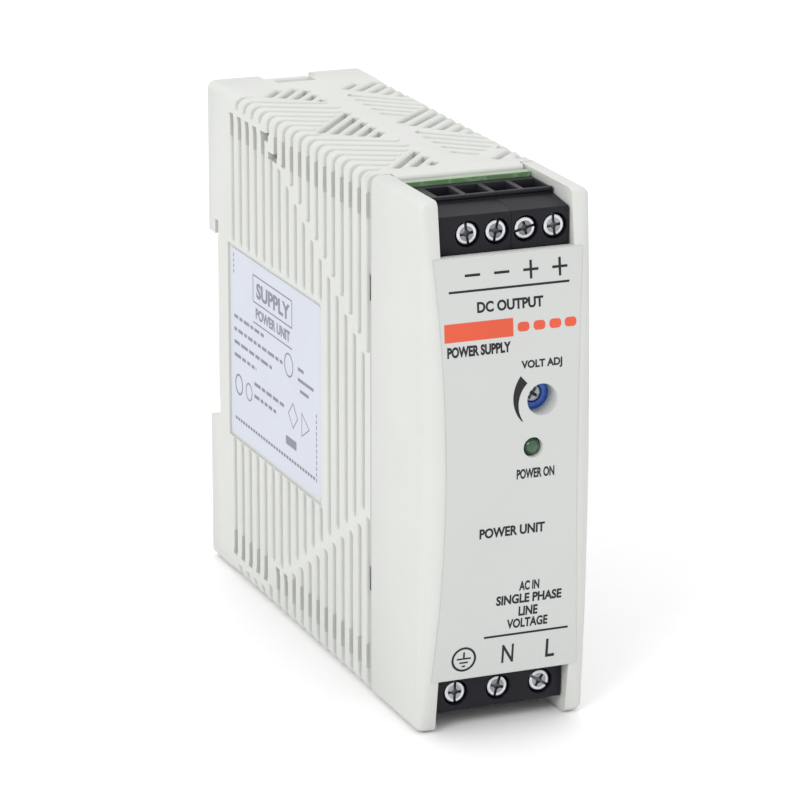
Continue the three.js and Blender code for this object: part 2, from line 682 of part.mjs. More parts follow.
// Transformer: a ferrite core with two windows, a bobbin on its middle leg, and a winding on the bobbin.
const CORE = { span: 26, height: 20, depth: 7, leg: 3.5, middleLeg: 7, yoke: 3 };
const BOBBIN = { tubeWall: 0.8, flange: 1 };
const WINDING = { half: 8.2, cornerRadius: 2 };

function buildCore() {
  const { span, height, depth, leg, middleLeg, yoke } = CORE;
  const windowWidth = (span - 2 * leg - middleLeg) / 2;
  const windows = [-1, 1].map((side) => {
    const middle = side * (middleLeg + windowWidth) / 2;
    const [y0, y1] = [middle - windowWidth / 2, middle + windowWidth / 2];
    return box(-depth, depth, y0, y1, yoke - height / 2, height / 2 - yoke);
  });
  return cut(box(-depth / 2, depth / 2, -span / 2, span / 2, -height / 2, height / 2), windows);
}

function addTransformer({ x, y, z }) {
  const { span, height, leg, middleLeg, yoke } = CORE;
  const bore = middleLeg / 2 + GAP;
  const tube = bore + BOBBIN.tubeWall;
  const reach = height / 2 - yoke - GAP;
  const flangeSide = span / 2 - leg - GAP;
  const flanges = [[-reach, BOBBIN.flange - reach], [reach - BOBBIN.flange, reach]].map(([z0, z1]) =>
    box(MOUNT_X - x, flangeSide, -flangeSide, flangeSide, z0, z1));
  const bobbin = cut(join([box(-tube, tube, -tube, tube, -reach, reach), ...flanges]), [
    box(-bore, bore, -bore, bore, -reach - 1, reach + 1),
  ]);

  const { half, cornerRadius } = WINDING;
  const windingReach = reach - BOBBIN.flange - GAP;
  const coil = extrude(roundedRectangle(-half, half, -half, half, cornerRadius), 2 * windingReach, 3);
  coil.translate(0, 0, -windingReach);
  const hole = tube + GAP;
  const winding = cut(toSolid(coil), [box(-hole, hole, -hole, hole, -height, height)]);

  placeSolid('transformer_core', buildCore(), 'ferrite', x, y, z);
  placeSolid('transformer_bobbin', bobbin, 'bobbin', x, y, z);
  placeSolid('transformer_winding', winding, 'winding', x, y, z);
}

// A finned heatsink standing on the board, with a transistor bolted to its plain face.
const HEATSINK = { height: 20, plate: 1.5, finReach: 2.4, finThickness: 1, finPitch: 5 };
const TRANSISTOR = { bottom: 3, top: 18, halfWidth: 5, thickness: 4.4, leadPitch: 2.5 };

function addHeatsink({ name, y, z0, z1, facing, transistor }) {
  const { height, plate, finReach, finThickness, finPitch } = HEATSINK;
  const [finFront, finBack] = facing > 0 ? [-finReach, 0.1] : [plate - 0.1, plate + finReach];
  const fins = heights(z0 + 1, z1 - 2, finPitch).map((z) =>
    box(0, height, finFront, finBack, z, z + finThickness));
  placeSolid(name, join([box(0, height, 0, plate, z0, z1), ...fins]), 'aluminium', MOUNT_X, y, 0);

  const { bottom, top, halfWidth, thickness, leadPitch } = TRANSISTOR;
  const middle = (z0 + z1) / 2;
  const front = facing > 0 ? plate + 0.1 : -0.1 - thickness;
  const leads = [-leadPitch, 0, leadPitch].map((offset) =>
    box(0, bottom + 1, front + 1.5, front + 2.2, middle + offset - 0.4, middle + offset + 0.4));
  const body = box(bottom, top, front, front + thickness, middle - halfWidth, middle + halfWidth);
  placeSolid(transistor, join([body, ...leads]), 'epoxy', MOUNT_X, y, 0);
}

function buildChoke() {
  const ring = new THREE.TorusGeometry(6, 2.6, 8, 20);
  ring.rotateY(Math.PI / 2);
  ring.translate(4.5, 0, 0);
  return toSolid(ring).add(box(0, 2.5, -3, 3, -9, 9));
}

// An inductor wound on a drum core.
function buildInductor() {
  const outline = [[0, 0], [0, 5], [1.5, 5], [1.5, 4], [10, 4], [10, 5], [11.5, 5], [11.5, 0]];
  return toSolid(turnedOnBoard(outline, 16));
}

function buildFuse() {
  const foot = box(-2, 0.3, -0.4, 0.4, -0.4, 0.4);
  return cylinderY(0, 0, 2, -6, 6, 14).add(foot);
}

// A rectangular part standing on the board, centred on its own place.
function standing(height, depth, width) {
  return box(0, height, -depth / 2, depth / 2, -width / 2, width / 2);
}

// What stands on the board: each part's name, solid, finish, height above the board, and place in y and z.
const BOARD_PARTS = [
  ['line_choke', buildChoke, 'winding', 0, 60, 16],
  ['x_capacitor', () => standing(12, 12, 16), 'filmCase', 0, 31, 28],
  ['fuse', buildFuse, 'glassTube', 2.3, 32, 11],
  ['inrush_limiter', () => cylinderY(0, 0, 4.5, -1.75, 1.75, 16), 'epoxy', 6, 44, 14],
  ['bridge_rectifier', () => standing(14, 4, 14), 'epoxy', 0, 44, 28],
  ['output_inductor', buildInductor, 'ferrite', 0, 63, 76],
  ['y_capacitor', () => cylinderY(0, 0, 3.5, -1.6, 1.6, 16), 'ceramic', 4.5, 76, 74],
  ['optocoupler', () => standing(3.5, 4.6, 6.6), 'epoxy', 0, 34, 60],
  ['controller_chip', () => standing(1.6, 4, 5), 'epoxy', 0, 34, 48],
];
const BULK_CAN = { length: 32, radius: 8, y: 80, bottom: 7 };
const OUTPUT_CAN = { length: 20, radius: 5, places: [[30, 76], [42, 78]] };
const TRANSFORMER_PLACE = { x: 0.6, y: 56, z: 45 };
const HEATSINKS = [
  { name: 'primary_heatsink', y: 73, z0: 50, z1: 66, facing: 1, transistor: 'switching_transistor' },
  { name: 'secondary_heatsink', y: 52, z0: 62, z1: 80, facing: -1, transistor: 'output_diode' },
];

function addElectronics() {
  addTransformer(TRANSFORMER_PLACE);
  HEATSINKS.forEach(addHeatsink);

  // The bulk capacitor lies on the board with its axis upright.
  const { length, radius, y: bulkY, bottom } = BULK_CAN;
  const bulk = turnedOnBoard(canOutline(length, radius));
  bulk.rotateY(-Math.PI / 2);
  placeSolid('bulk_capacitor', toSolid(bulk), 'sleeve', MOUNT_X + radius, bulkY, bottom);
  const outputCan = toGeometry(toSolid(turnedOnBoard(canOutline(OUTPUT_CAN.length, OUTPUT_CAN.radius))));
  OUTPUT_CAN.places.forEach(([y, z], i) =>
    place(`output_capacitor_${i + 1}`, outputCan, 'sleeve', MOUNT_X, y, z));
  for (const [name, build, finish, rise, y, z] of BOARD_PARTS) {
    placeSolid(name, build(), finish, MOUNT_X + rise, y, z);
  }
}

placeSolid('housing', buildHousing(), 'shell');
placeSolid('front_cover', buildCover(), 'shell');
placeSolid('front_overlay', buildOverlay(), 'overlay');
const labelFace = -HALF_WIDTH + LABEL.recess - 0.02;
const { front: labelFront, back: labelBack, bottom: labelBottom, top: labelTop, thickness } = LABEL;
const label = box(labelFace - thickness, labelFace, labelFront, labelBack, labelBottom, labelTop);
placeSolid('side_label', label, 'paper');
placeSolid('rail_latch', buildLatch(), 'latch');
placeSolid('latch_spring', buildSpring(), 'steel', 0, (CHANNEL_FRONT + CHANNEL_BACK) / 2, 0);
addTerminals();
addBoards();
addElectronics();

const model = new THREE.Group();
model.add(assembly);
export default model;
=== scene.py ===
# The looks of a 30 mm DIN rail power supply, built around its CAD frame.
#
# Lengths are in millimetres until place() turns them into metres. X is to the right and Z is up. y is the
# depth behind the front edge of the cover's ears, as in the CAD part; place() shifts it to the frame's y.
import json
import math
import random

import bmesh
import bpy
from mathutils import Matrix, Vector


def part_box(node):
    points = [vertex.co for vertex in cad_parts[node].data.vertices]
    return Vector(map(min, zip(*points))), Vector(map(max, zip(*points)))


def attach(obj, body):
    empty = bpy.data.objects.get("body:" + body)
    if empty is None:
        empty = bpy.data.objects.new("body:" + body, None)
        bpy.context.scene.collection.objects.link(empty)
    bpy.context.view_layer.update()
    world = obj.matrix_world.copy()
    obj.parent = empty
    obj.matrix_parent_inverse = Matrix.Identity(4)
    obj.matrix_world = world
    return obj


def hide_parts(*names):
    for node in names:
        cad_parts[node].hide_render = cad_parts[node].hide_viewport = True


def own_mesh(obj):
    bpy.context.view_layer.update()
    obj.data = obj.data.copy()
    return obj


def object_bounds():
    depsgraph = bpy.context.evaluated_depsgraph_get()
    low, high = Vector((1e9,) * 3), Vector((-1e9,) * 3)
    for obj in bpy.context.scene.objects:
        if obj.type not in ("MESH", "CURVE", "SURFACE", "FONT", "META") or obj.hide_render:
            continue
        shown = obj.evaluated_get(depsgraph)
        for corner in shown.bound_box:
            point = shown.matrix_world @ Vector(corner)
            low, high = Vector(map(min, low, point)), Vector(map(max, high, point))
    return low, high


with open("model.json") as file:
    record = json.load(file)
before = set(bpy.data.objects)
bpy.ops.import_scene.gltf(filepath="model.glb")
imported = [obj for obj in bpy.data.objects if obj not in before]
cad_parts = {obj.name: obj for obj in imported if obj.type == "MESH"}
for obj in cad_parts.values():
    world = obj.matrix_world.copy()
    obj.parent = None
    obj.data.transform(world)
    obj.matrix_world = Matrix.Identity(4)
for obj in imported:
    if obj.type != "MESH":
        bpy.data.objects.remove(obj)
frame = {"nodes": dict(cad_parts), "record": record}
cad_low, cad_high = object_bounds()

MM = 0.001
BODY = "unit"

# Overall sizes.
HEIGHT = 90
MIDDLE = HEIGHT / 2
HALF_WIDTH = 15
BODY_DEPTH = 100
SHIFT = cad_high.y / MM - BODY_DEPTH

# Housing shell.
WALL = 1.9
INNER = HALF_WIDTH - WALL
OUTSIDE = HALF_WIDTH + 1
HOUSING_FRONT = 20.4
CAVITY_BACK = 91.5
EDGE_RADIUS = 1.4
RIB_EDGE_RADIUS = 1.8
EAR_INNER = 11.7
LIP_FRONT = 18.4
LIP_ROUND = 0.9
GAP = 0.3
SNAP_HEIGHTS = (20.2, 70.8)
SNAP_HALF = 2.5
SNAP_WINDOW = 1.3
SNAP_POCKET = {"depth": 3.8, "skin": 0.75}
SPRING_SEAT = (-1.7, 1.7, 94.4, 97.9, 10.3, 12.3)

# Grooves between the ribs. An inner groove lies along the middle of a side. An outer one lies farther to the
# front, and wraps over the edge on to the top or bottom. In front of the rear vents the inner grooves end on a
# stepped diagonal: UPPER_ENDS and LOWER_ENDS hold its first height and its step.
PITCH = 3.94
INNER_LAST = 87.1
OUTER_LAST = 84.75
GROOVE_COUNT = 17
LABEL_ROWS = 12
REAR_VENTS = 5
VENT_HALF_WIDTH = 0.92
VENTS_TOP = (82.3, 86.6)
VENTS_BOTTOM = (3.8, 8.2)
STUB_START = 88.1
UPPER_ENDS = (81.4, 2.25)
LOWER_ENDS = (8.0, 2.37)
JOG = 0.7
INNER_ELBOW = {"reach": 2.9, "bottom": 85.2}
OUTER_ELBOW = {"reach": 3.4, "top": 83.6}
LABEL = {
    "front": 44, "back": 89, "bottom": 27.0, "top": 61.8, "margin": 0.7, "recess": 0.45, "thickness": 0.2,
    "corner": 0.8,
}

# Top and bottom pattern: limits of the ribbed area and of the plain spine along its middle.
PATTERN_FRONT = 24.0
PATTERN_BACK = 87.8
LEFT_SPINE = -0.1
RIGHT_SPINE = 3.4

# Rail seat and latch channel.
SEAT_Y = 95
NOTCH = (28.6, 62.4)
SEAT_BOTTOM = 32
HOOK_SLOT = (96.3, 65.1)
RAMP_DROP = 1.6
CHANNEL_HALF = 5.2
CHANNEL = (95.4, 98.5)
CHANNEL_MOUTH_HALF = 3.6

# Front cover and its film.
FILM = 0.22
COVER_BULGE = 3.74
COVER_BACK = 20.1
PANEL_WALL = 1.4
PANEL = (9.1, 80.9)
FILLET_ENDS = 1.1
FILLET_MIDDLE = 3.5
TRIMMER_HOLE = (5.3, 56.4, 2.6)
TRIMMER_TUBE = (3.5, -0.1)
LED_HOLE = (3.7, 48.5, 1.66)
LED_RADIUS = 1.56


# ---------------------------------------------------------------- materials

def node_material(name):
    """A material with its node tree, its shader and a texture coordinate in metres."""
    material = bpy.data.materials.new(name)
    material.use_nodes = True
    nodes = material.node_tree.nodes
    shader = nodes["Principled BSDF"]
    coordinates = nodes.new("ShaderNodeTexCoord")
    return material, material.node_tree, shader, coordinates.outputs["Object"]


def noise(tree, coordinates, scale, detail=3.0, stretch=None):
    """Noise whose features are about 1/scale metres across."""
    texture = tree.nodes.new("ShaderNodeTexNoise")
    texture.inputs["Scale"].default_value = scale
    texture.inputs["Detail"].default_value = detail
    if stretch is not None:
        mapping = tree.nodes.new("ShaderNodeMapping")
        mapping.inputs["Scale"].default_value = stretch
        tree.links.new(coordinates, mapping.inputs["Vector"])
        coordinates = mapping.outputs["Vector"]
    tree.links.new(coordinates, texture.inputs["Vector"])
    return texture.outputs["Fac"]


def ramp(tree, value, stops):
    """A colour ramp over (position, colour) stops."""
    node = tree.nodes.new("ShaderNodeValToRGB")
    elements = node.color_ramp.elements
    while len(elements) < len(stops):
        elements.new(0.5)
    for element, (position, colour) in zip(elements, stops):
        element.position = position
        element.color = (*colour, 1)
    tree.links.new(value, node.inputs["Fac"])
    return node.outputs["Color"]


def add_tint(tree, shader, value, colour, spread, positions=(0.3, 0.7)):
    """Varies the colour with a texture's value, from a darker to a lighter shade."""
    shades = [tuple(min(1, c * factor) for c in colour) for factor in (1 - spread, 1 + spread)]
    tree.links.new(ramp(tree, value, list(zip(positions, shades))), shader.inputs["Base Color"])


def add_relief(tree, shader, height, strength, distance):
    """Bumps the surface by a texture's value. The distance is in metres."""
    bump = tree.nodes.new("ShaderNodeBump")
    bump.inputs["Strength"].default_value = strength
    bump.inputs["Distance"].default_value = distance
    tree.links.new(height, bump.inputs["Height"])
    tree.links.new(bump.outputs["Normal"], shader.inputs["Normal"])


def moulded(name, colour, roughness=0.5, grain=4200, relief=0.15, spread=0.03, metallic=0.0, **sockets):
    """A surface with slow colour variation, a fine grain in its relief, and uneven gloss."""
    material, tree, shader, coordinates = node_material(name)
    add_tint(tree, shader, noise(tree, coordinates, 90), colour, spread)
    fine = noise(tree, coordinates, grain, 2)
    gloss = tree.nodes.new("ShaderNodeMapRange")
    gloss.inputs["To Min"].default_value = roughness - 0.06
    gloss.inputs["To Max"].default_value = roughness + 0.06
    tree.links.new(fine, gloss.inputs["Value"])
    tree.links.new(gloss.outputs["Result"], shader.inputs["Roughness"])
    add_relief(tree, shader, fine, relief, 0.00004)
    shader.inputs["Metallic"].default_value = metallic
    for socket, value in sockets.items():
        shader.inputs[socket.replace("_", " ")].default_value = value
    return material


def brushed(name, colour, roughness, stretch):
    """Metal with fine drawn or turned lines along one direction."""
    material, tree, shader, coordinates = node_material(name)
    lines = noise(tree, coordinates, 1500, 4, stretch)
    add_tint(tree, shader, lines, colour, 0.08)
    add_relief(tree, shader, lines, 0.12, 0.00003)
    shader.inputs["Metallic"].default_value = 1
    shader.inputs["Roughness"].default_value = roughness
    return material


def wound(name, colour, pitch_scale):
    """Tape or wire wound in even turns along Z."""
    material, tree, shader, coordinates = node_material(name)
    wave = tree.nodes.new("ShaderNodeTexWave")
    wave.bands_direction = "Z"
    wave.inputs["Scale"].default_value = pitch_scale
    wave.inputs["Distortion"].default_value = 0.4
    tree.links.new(coordinates, wave.inputs["Vector"])
    add_tint(tree, shader, wave.outputs["Fac"], colour, 0.15, (0.1, 0.6))
    add_relief(tree, shader, wave.outputs["Fac"], 0.4, 0.0001)
    shader.inputs["Roughness"].default_value = 0.4
    return material


def circuit_board(name):
    """Green solder mask with faint tracks beneath it."""
    material, tree, shader, coordinates = node_material(name)
    cells = tree.nodes.new("ShaderNodeTexVoronoi")
    cells.feature = "DISTANCE_TO_EDGE"
    cells.inputs["Scale"].default_value = 260
    tree.links.new(coordinates, cells.inputs["Vector"])
    stops = [(0.05, (0.18, 0.31, 0.165)), (0.11, (0.12, 0.23, 0.11))]
    tree.links.new(ramp(tree, cells.outputs["Distance"], stops), shader.inputs["Base Color"])
    add_relief(tree, shader, cells.outputs["Distance"], 0.2, 0.00005)
    shader.inputs["Roughness"].default_value = 0.35
    return material


SHELL = moulded("shell", (0.58, 0.59, 0.565), 0.46, relief=0.18, spread=0.012)
# Painted shade: the front film's grey is set darker than the shell's to stand for the shade on the front-facing
# panel.
OVERLAY_WITH_PAINTED_SHADE = moulded("overlay", (0.53, 0.54, 0.53), 0.42, grain=6000, relief=0.1, spread=0.01)
LABEL_FILM = moulded("label", (0.53, 0.555, 0.63), 0.4, grain=2500, relief=0.08, spread=0.015)
INK = moulded("print_ink", (0.022, 0.022, 0.026), 0.6, relief=0.08, spread=0.08, Specular_IOR_Level=0.2)
LABEL_INK = moulded("label_ink", (0.19, 0.19, 0.23), 0.5, relief=0.08, spread=0.08)
RED_INK = moulded("print_red", (0.66, 0.095, 0.045), 0.45, relief=0.08, spread=0.04, Specular_IOR_Level=0.3)
TERMINAL = moulded("terminal", (0.009, 0.009, 0.013), 0.45, grain=3600, relief=0.22, spread=0.12,
                   Specular_IOR_Level=0.2)
# Painted shade: darker zinc for the faces inside the screws' crossed slots.
ZINC_SLOT_PAINTED_SHADE = moulded("zinc_slot_painted_shade", (0.12, 0.125, 0.13), 0.38, grain=3200, relief=0.5, spread=0.3,
                      metallic=0.8)
# Painted shade for the faces inside the trimmer rotor's slot.
SLOT_SHADE = moulded("rotor_slot_painted_shade", (0.05, 0.05, 0.052), 0.6, relief=0.2, spread=0.2)
ZINC_FACE = moulded("zinc_face", (0.30, 0.31, 0.33), 0.3, grain=2600, relief=0.9, spread=0.35, metallic=1)
ZINC = brushed("zinc", (0.66, 0.67, 0.70), 0.25, (1, 0.2, 3))
TINNED = brushed("tinned", (0.74, 0.62, 0.42), 0.3, (1, 1, 0.2))
BOARD = circuit_board("board")
BOARD_EDGE = moulded("board_edge", (0.33, 0.40, 0.29), 0.6, grain=2600, relief=0.4, spread=0.12)
TRIMMER_BLUE = moulded("trimmer_blue", (0.022, 0.11, 0.50), 0.28, relief=0.08, spread=0.1, Coat_Weight=0.4)
TRIMMER_GREY = moulded("trimmer_grey", (0.66, 0.67, 0.66), 0.4, relief=0.12, spread=0.05)
LENS = moulded("led_lens", (0.012, 0.085, 0.03), 0.12, relief=0.04, spread=0.12, Coat_Weight=0.8,
               Transmission_Weight=0.25)
FERRITE = moulded("ferrite", (0.045, 0.045, 0.048), 0.75, grain=1500, relief=0.5, spread=0.2)
BOBBIN = moulded("bobbin", (0.018, 0.018, 0.02), 0.5, relief=0.2, spread=0.15)
WINDING = wound("winding", (0.70, 0.45, 0.05), 420)
SLEEVE = moulded("sleeve", (0.016, 0.02, 0.035), 0.3, relief=0.1, spread=0.2)
FILM_CASE = moulded("film_case", (0.66, 0.42, 0.05), 0.4, relief=0.15, spread=0.06)
CERAMIC = moulded("ceramic", (0.03, 0.12, 0.38), 0.35, grain=1800, relief=0.3, spread=0.12)
EPOXY = moulded("epoxy", (0.012, 0.012, 0.013), 0.55, grain=3000, relief=0.3, spread=0.2)
FUSE_TUBE = moulded("fuse_tube", (0.15, 0.07, 0.035), 0.3, relief=0.1, spread=0.12)
ALUMINIUM = brushed("aluminium", (0.56, 0.57, 0.6), 0.38, (0.2, 1, 3))
SPRING_STEEL = brushed("spring_steel", (0.6, 0.6, 0.62), 0.28, (1, 1, 3))
LATCH = moulded("latch", (0.024, 0.025, 0.03), 0.45, relief=0.25, spread=0.15)


# ---------------------------------------------------------------- mesh helpers

def place(point):
    """A point in millimetres, in this script's y, as a point of the frame in metres."""
    x, y, z = point
    return Vector((x, y + SHIFT, z)) * MM


def limits(node):
    """The two corners of a CAD node's box, in millimetres and in this script's y."""
    return [(corner[0] / MM, corner[1] / MM - SHIFT, corner[2] / MM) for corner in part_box(node)]


def new_mesh(name, verts, faces):
    mesh = bpy.data.meshes.new(name)
    mesh.from_pydata([place(v) for v in verts], [], faces)
    work = bmesh.new()
    work.from_mesh(mesh)
    bmesh.ops.recalc_face_normals(work, faces=work.faces)
    work.to_mesh(mesh)
    work.free()
    return mesh


def link(name, mesh):
    made = bpy.data.objects.new(name, mesh)
    bpy.context.scene.collection.objects.link(made)
    return made


def smooth(mesh, angle=35):
    """Smooth shading that keeps edges sharper than the angle."""
    mesh.shade_smooth()
    mesh.set_sharp_from_angle(angle=math.radians(angle))


def finish_piece(piece, material, slot, *nodes, body=BODY, angle=35):
    """Gives a mesh piece its finish and its body, and hides the CAD nodes that it stands for. Its slot is not
    used.
    """
    if material is not None:
        piece.data.materials.clear()
        piece.data.materials.append(material)
    smooth(piece.data, angle)
    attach(piece, body)
    if nodes:
        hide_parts(*nodes)
    return piece


def merged(solids):
    """Several (verts, faces) solids as one."""
    verts = []
    faces = []
    for solid_verts, solid_faces in solids:
        start = len(verts)
        verts.extend(solid_verts)
        faces.extend(tuple(i + start for i in face) for face in solid_faces)
    return verts, faces


def loft(rings):
    """A closed solid through rings of equal point count."""
    count = len(rings[0])
    faces = []
    for start in range(0, (len(rings) - 1) * count, count):
        for i in range(count):
            a = start + i
            b = start + (i + 1) % count
            faces.append((a, b, b + count, a + count))
    faces.append(tuple(reversed(range(count))))
    faces.append(tuple(range((len(rings) - 1) * count, len(rings) * count)))
    return [Vector(p) for ring in rings for p in ring], faces


def rectangle(x0, x1, y0, y1, z):
    return [(x, y, z) for x, y in ((x0, y0), (x1, y0), (x1, y1), (x0, y1))]


def block(x0, x1, y0, y1, z0, z1):
    return loft([rectangle(x0, x1, y0, y1, z) for z in (z0, z1)])


def wall_block(side, outer, y0, y1, z0, z1):
    """A block from inside a side wall to a distance from the middle."""
    x0, x1 = sorted((side * (INNER - 1), side * outer))
    return block(x0, x1, y0, y1, z0, z1)


def rounded_outline(half_u, half_v, corner, steps=3):
    """The corner arcs of a rounded rectangle, counterclockwise."""
    points = []
    for side_u, side_v, start in ((1, 1, 0), (-1, 1, 90), (-1, -1, 180), (1, -1, 270)):
        for i in range(steps + 1):
            turn = math.radians(start + 90 * i / steps)
            u = side_u * (half_u - corner) + corner * math.cos(turn)
            v = side_v * (half_v - corner) + corner * math.sin(turn)
            points.append((u, v))
    return points


def evenly(first, last, step):
    """Even values from first to last, about a step apart."""
    count = max(1, round(abs(last - first) / step))
    return [first + (last - first) * i / count for i in range(count + 1)]


def cylinder_y(x, z, radius, y0, y1, segments=48):
    turns = [2 * math.pi * i / segments for i in range(segments)]
    return loft([[(x + radius * math.cos(t), y, z + radius * math.sin(t)) for t in turns] for y in (y0, y1)])


def prism_x(points, x0, x1):
    """An outline of (y, z) points between two planes across X."""
    return loft([[(x, y, z) for y, z in points] for x in (x0, x1)])


def evaluated_mesh(target):
    """The mesh of an object with its modifiers applied. The object is removed."""
    bpy.context.view_layer.update()
    mesh = bpy.data.meshes.new_from_object(target.evaluated_get(bpy.context.evaluated_depsgraph_get()))
    bpy.data.objects.remove(target)
    return mesh


def boolean(base, solids, operation="DIFFERENCE"):
    """Cuts solids out of a mesh, or joins them to it. The solids don't touch each other."""
    target = link("work", base)
    tool = link("tool", new_mesh("tool", *merged(solids)))
    modifier = target.modifiers.new("boolean", "BOOLEAN")
    modifier.solver = "MANIFOLD"
    modifier.operation = operation
    modifier.object = tool
    result = evaluated_mesh(target)
    bpy.data.objects.remove(tool)
    return result


def tidy_mesh(mesh, bevel=0.0, angle=40, segments=2):
    """Merges flat faces, and rounds the sharp edges by a width in millimetres."""
    work = bmesh.new()
    work.from_mesh(mesh)
    bmesh.ops.remove_doubles(work, verts=work.verts, dist=2e-7)
    bmesh.ops.dissolve_limit(work, angle_limit=math.radians(0.8), verts=work.verts, edges=work.edges)
    work.to_mesh(mesh)
    work.free()
    if bevel:
        target = link("work", mesh)
        modifier = target.modifiers.new("bevel", "BEVEL")
        modifier.width = bevel * MM
        modifier.segments = segments
        modifier.limit_method = "ANGLE"
        modifier.angle_limit = math.radians(angle)
        modifier.use_clamp_overlap = True
        mesh = evaluated_mesh(target)
    return mesh


def copied_mesh(node, bevel, segments=2):
    """A CAD node's mesh again, with rounded edges."""
    return tidy_mesh(frame["nodes"][node].data.copy(), bevel, 40, segments)


# ---------------------------------------------------------------- grooves

GROOVE = {"half_width": 0.78, "corner": 0.6, "flare": 0.45, "foot": 0.25, "depth": 1.25}
DIAGONAL = {"half_width": 0.5, "corner": 0.45, "flare": 0.66, "foot": 0.3, "depth": 1.25}
HOLE = {"half_width": 0.62, "corner": 0.45, "flare": 0.01, "foot": 0.02, "depth": WALL + 0.6}
ARC_STEPS = 3
EDGE_STEPS = 8
BEYOND = 2.5
# How a wrapped groove runs out: (distance from its end, share of the full depth) pairs, and at no depth its
# share of the full width and how far it is lifted. A climb is its straight stretch on the side wall.
END_RAMP = ((0, 0.05), (0.25, 0.8), (0.6, 1))
END_WIDTH = 0.6
END_LIFT = 0.35
SHORTEST_CLIMB = 0.7
SHORTEST_RUN = {"cross": 3.2, "diagonal": 1.4}
SPINE_CLEAR = 0.75
HOLE_LENGTH = 1.5


def groove_rings(shape):
    """(outline offset, height) pairs: rounded foot, wall, and a mouth that rounds the ribs."""
    foot = shape["foot"]
    flare = shape["flare"]
    pairs = []
    for i in range(ARC_STEPS):
        turn = math.pi / 2 * i / (ARC_STEPS - 1)
        pairs.append((foot * (math.sin(turn) - 1), -shape["depth"] + foot * (1 - math.cos(turn))))
    for i in range(ARC_STEPS + 1):
        turn = math.pi / 2 * i / ARC_STEPS
        pairs.append((flare * (1 - math.cos(turn)), flare * (math.sin(turn) - 1)))
    pairs.append((flare, 1.0))
    return pairs


def groove(start, end, out, shape=GROOVE):
    """A cutter for one groove between two points on a surface whose outward direction is out."""
    start = Vector(start)
    end = Vector(end)
    along = (end - start).normalized()
    across = out.cross(along)
    middle = (start + end) / 2
    half_length = (end - start).length / 2
    rings = []
    for offset, height in groove_rings(shape):
        half_width = shape["half_width"] + offset
        outline = rounded_outline(half_length + offset, half_width, shape["corner"] + offset)
        rings.append([middle + along * u + across * v + out * height for u, v in outline])
    return loft(rings)


def inner_y(k):
    return INNER_LAST - PITCH * k


def outer_y(k):
    return OUTER_LAST - PITCH * k


def upper_end(k):
    """Height of an inner groove's upper end, below the stepped diagonal."""
    return min(UPPER_ENDS[0] - UPPER_ENDS[1] * (k - REAR_VENTS - 1), VENTS_TOP[0])


def lower_end(k):
    return LOWER_ENDS[0] + LOWER_ENDS[1] * (k - REAR_VENTS - 1)


def inner_grooves(side):
    """The inner grooves of one side wall. The left side, -1, leaves room for the label."""
    x = side * HALF_WIDTH
    out = Vector((side, 0, 0))
    cutters = []
    for k in range(GROOVE_COUNT):
        top = VENTS_TOP[1] - 0.6 if k < REAR_VENTS else upper_end(k)
        bottom = VENTS_BOTTOM[0] + 0.6 if k < REAR_VENTS else max(lower_end(k), VENTS_BOTTOM[1] + 0.5)
        spans = [(bottom, top)]
        if side < 0 and k < LABEL_ROWS:
            spans = [(bottom, LABEL["bottom"] - 1.0), (LABEL["top"] + 1.3, top)]
        cutters += [groove((x, inner_y(k), z0), (x, inner_y(k), z1), out) for z0, z1 in spans]
    return cutters


def outer_start(k, up):
    """The height on the side wall at which an outer groove starts towards the top (up = 1) or bottom."""
    if k < REAR_VENTS - 1:
        top, bottom = STUB_START, HEIGHT - STUB_START
    elif k == REAR_VENTS - 1:
        top, bottom = VENTS_TOP[1] - 0.4, HEIGHT - VENTS_TOP[1] + 0.4
    else:
        top = min(upper_end(k) + JOG, VENTS_TOP[0] + 0.6)
        bottom = max(lower_end(k) - JOG, VENTS_BOTTOM[1] - 0.6)
    return top if up > 0 else bottom


def wrapped_groove(side, up, k, slope, x_end, shape=GROOVE):
    """A cutter for an outer groove: along the side wall, around the edge, and over the top to x_end."""
    radius = RIB_EDGE_RADIUS
    edge = HEIGHT if up > 0 else 0
    corner_z = edge - up * radius
    start = outer_start(k, up)
    if up * (corner_z - start) < SHORTEST_CLIMB:
        start = corner_z - up * SHORTEST_CLIMB
    stations = [(side * HALF_WIDTH, z, 0) for z in (start, corner_z)]
    for i in range(1, EDGE_STEPS + 1):
        turn = math.pi / 2 * i / EDGE_STEPS
        x = side * (HALF_WIDTH - radius + radius * math.cos(turn))
        stations.append((x, corner_z + up * radius * math.sin(turn), turn))
    stations.append((x_end, edge, math.pi / 2))
    points = [Vector((x, outer_y(k) + slope * (x - side * HALF_WIDTH), z)) for x, z, _ in stations]
    outs = [Vector((side * math.cos(turn), 0, up * math.sin(turn))) for _, _, turn in stations]
    first = (points[1] - points[0]).normalized()
    last = (points[-1] - points[-2]).normalized()
    places = [(points[0] + first * step, outs[0], first, share) for step, share in END_RAMP]
    for i in range(1, len(points) - 1):
        places.append((points[i], outs[i], (points[i + 1] - points[i - 1]).normalized(), 1))
    places += [(points[-1] - last * step, outs[-1], last, share) for step, share in reversed(END_RAMP)]
    half = [(shape["half_width"] + offset, height) for offset, height in groove_rings(shape)]
    profile = [(-a, h) for a, h in reversed(half)] + half
    rings = []
    for point, out, along, share in places:
        across = out.cross(along).normalized()
        width = END_WIDTH + (1 - END_WIDTH) * share
        lift = END_LIFT * (1 - share)
        rings.append([point + across * (a * width) + out * (h * share + lift) for a, h in profile])
    return loft(rings)


def side_vents(side):
    """Slots right through a side wall, in the ends of the grooves."""
    half = VENT_HALF_WIDTH
    rows = [inner_y(k) for k in range(REAR_VENTS)] + [outer_y(k) for k in range(REAR_VENTS, GROOVE_COUNT)]
    return [wall_block(side, OUTSIDE, y - half, y + half, z0, z1)
            for y in rows for z0, z1 in (VENTS_TOP, VENTS_BOTTOM)]


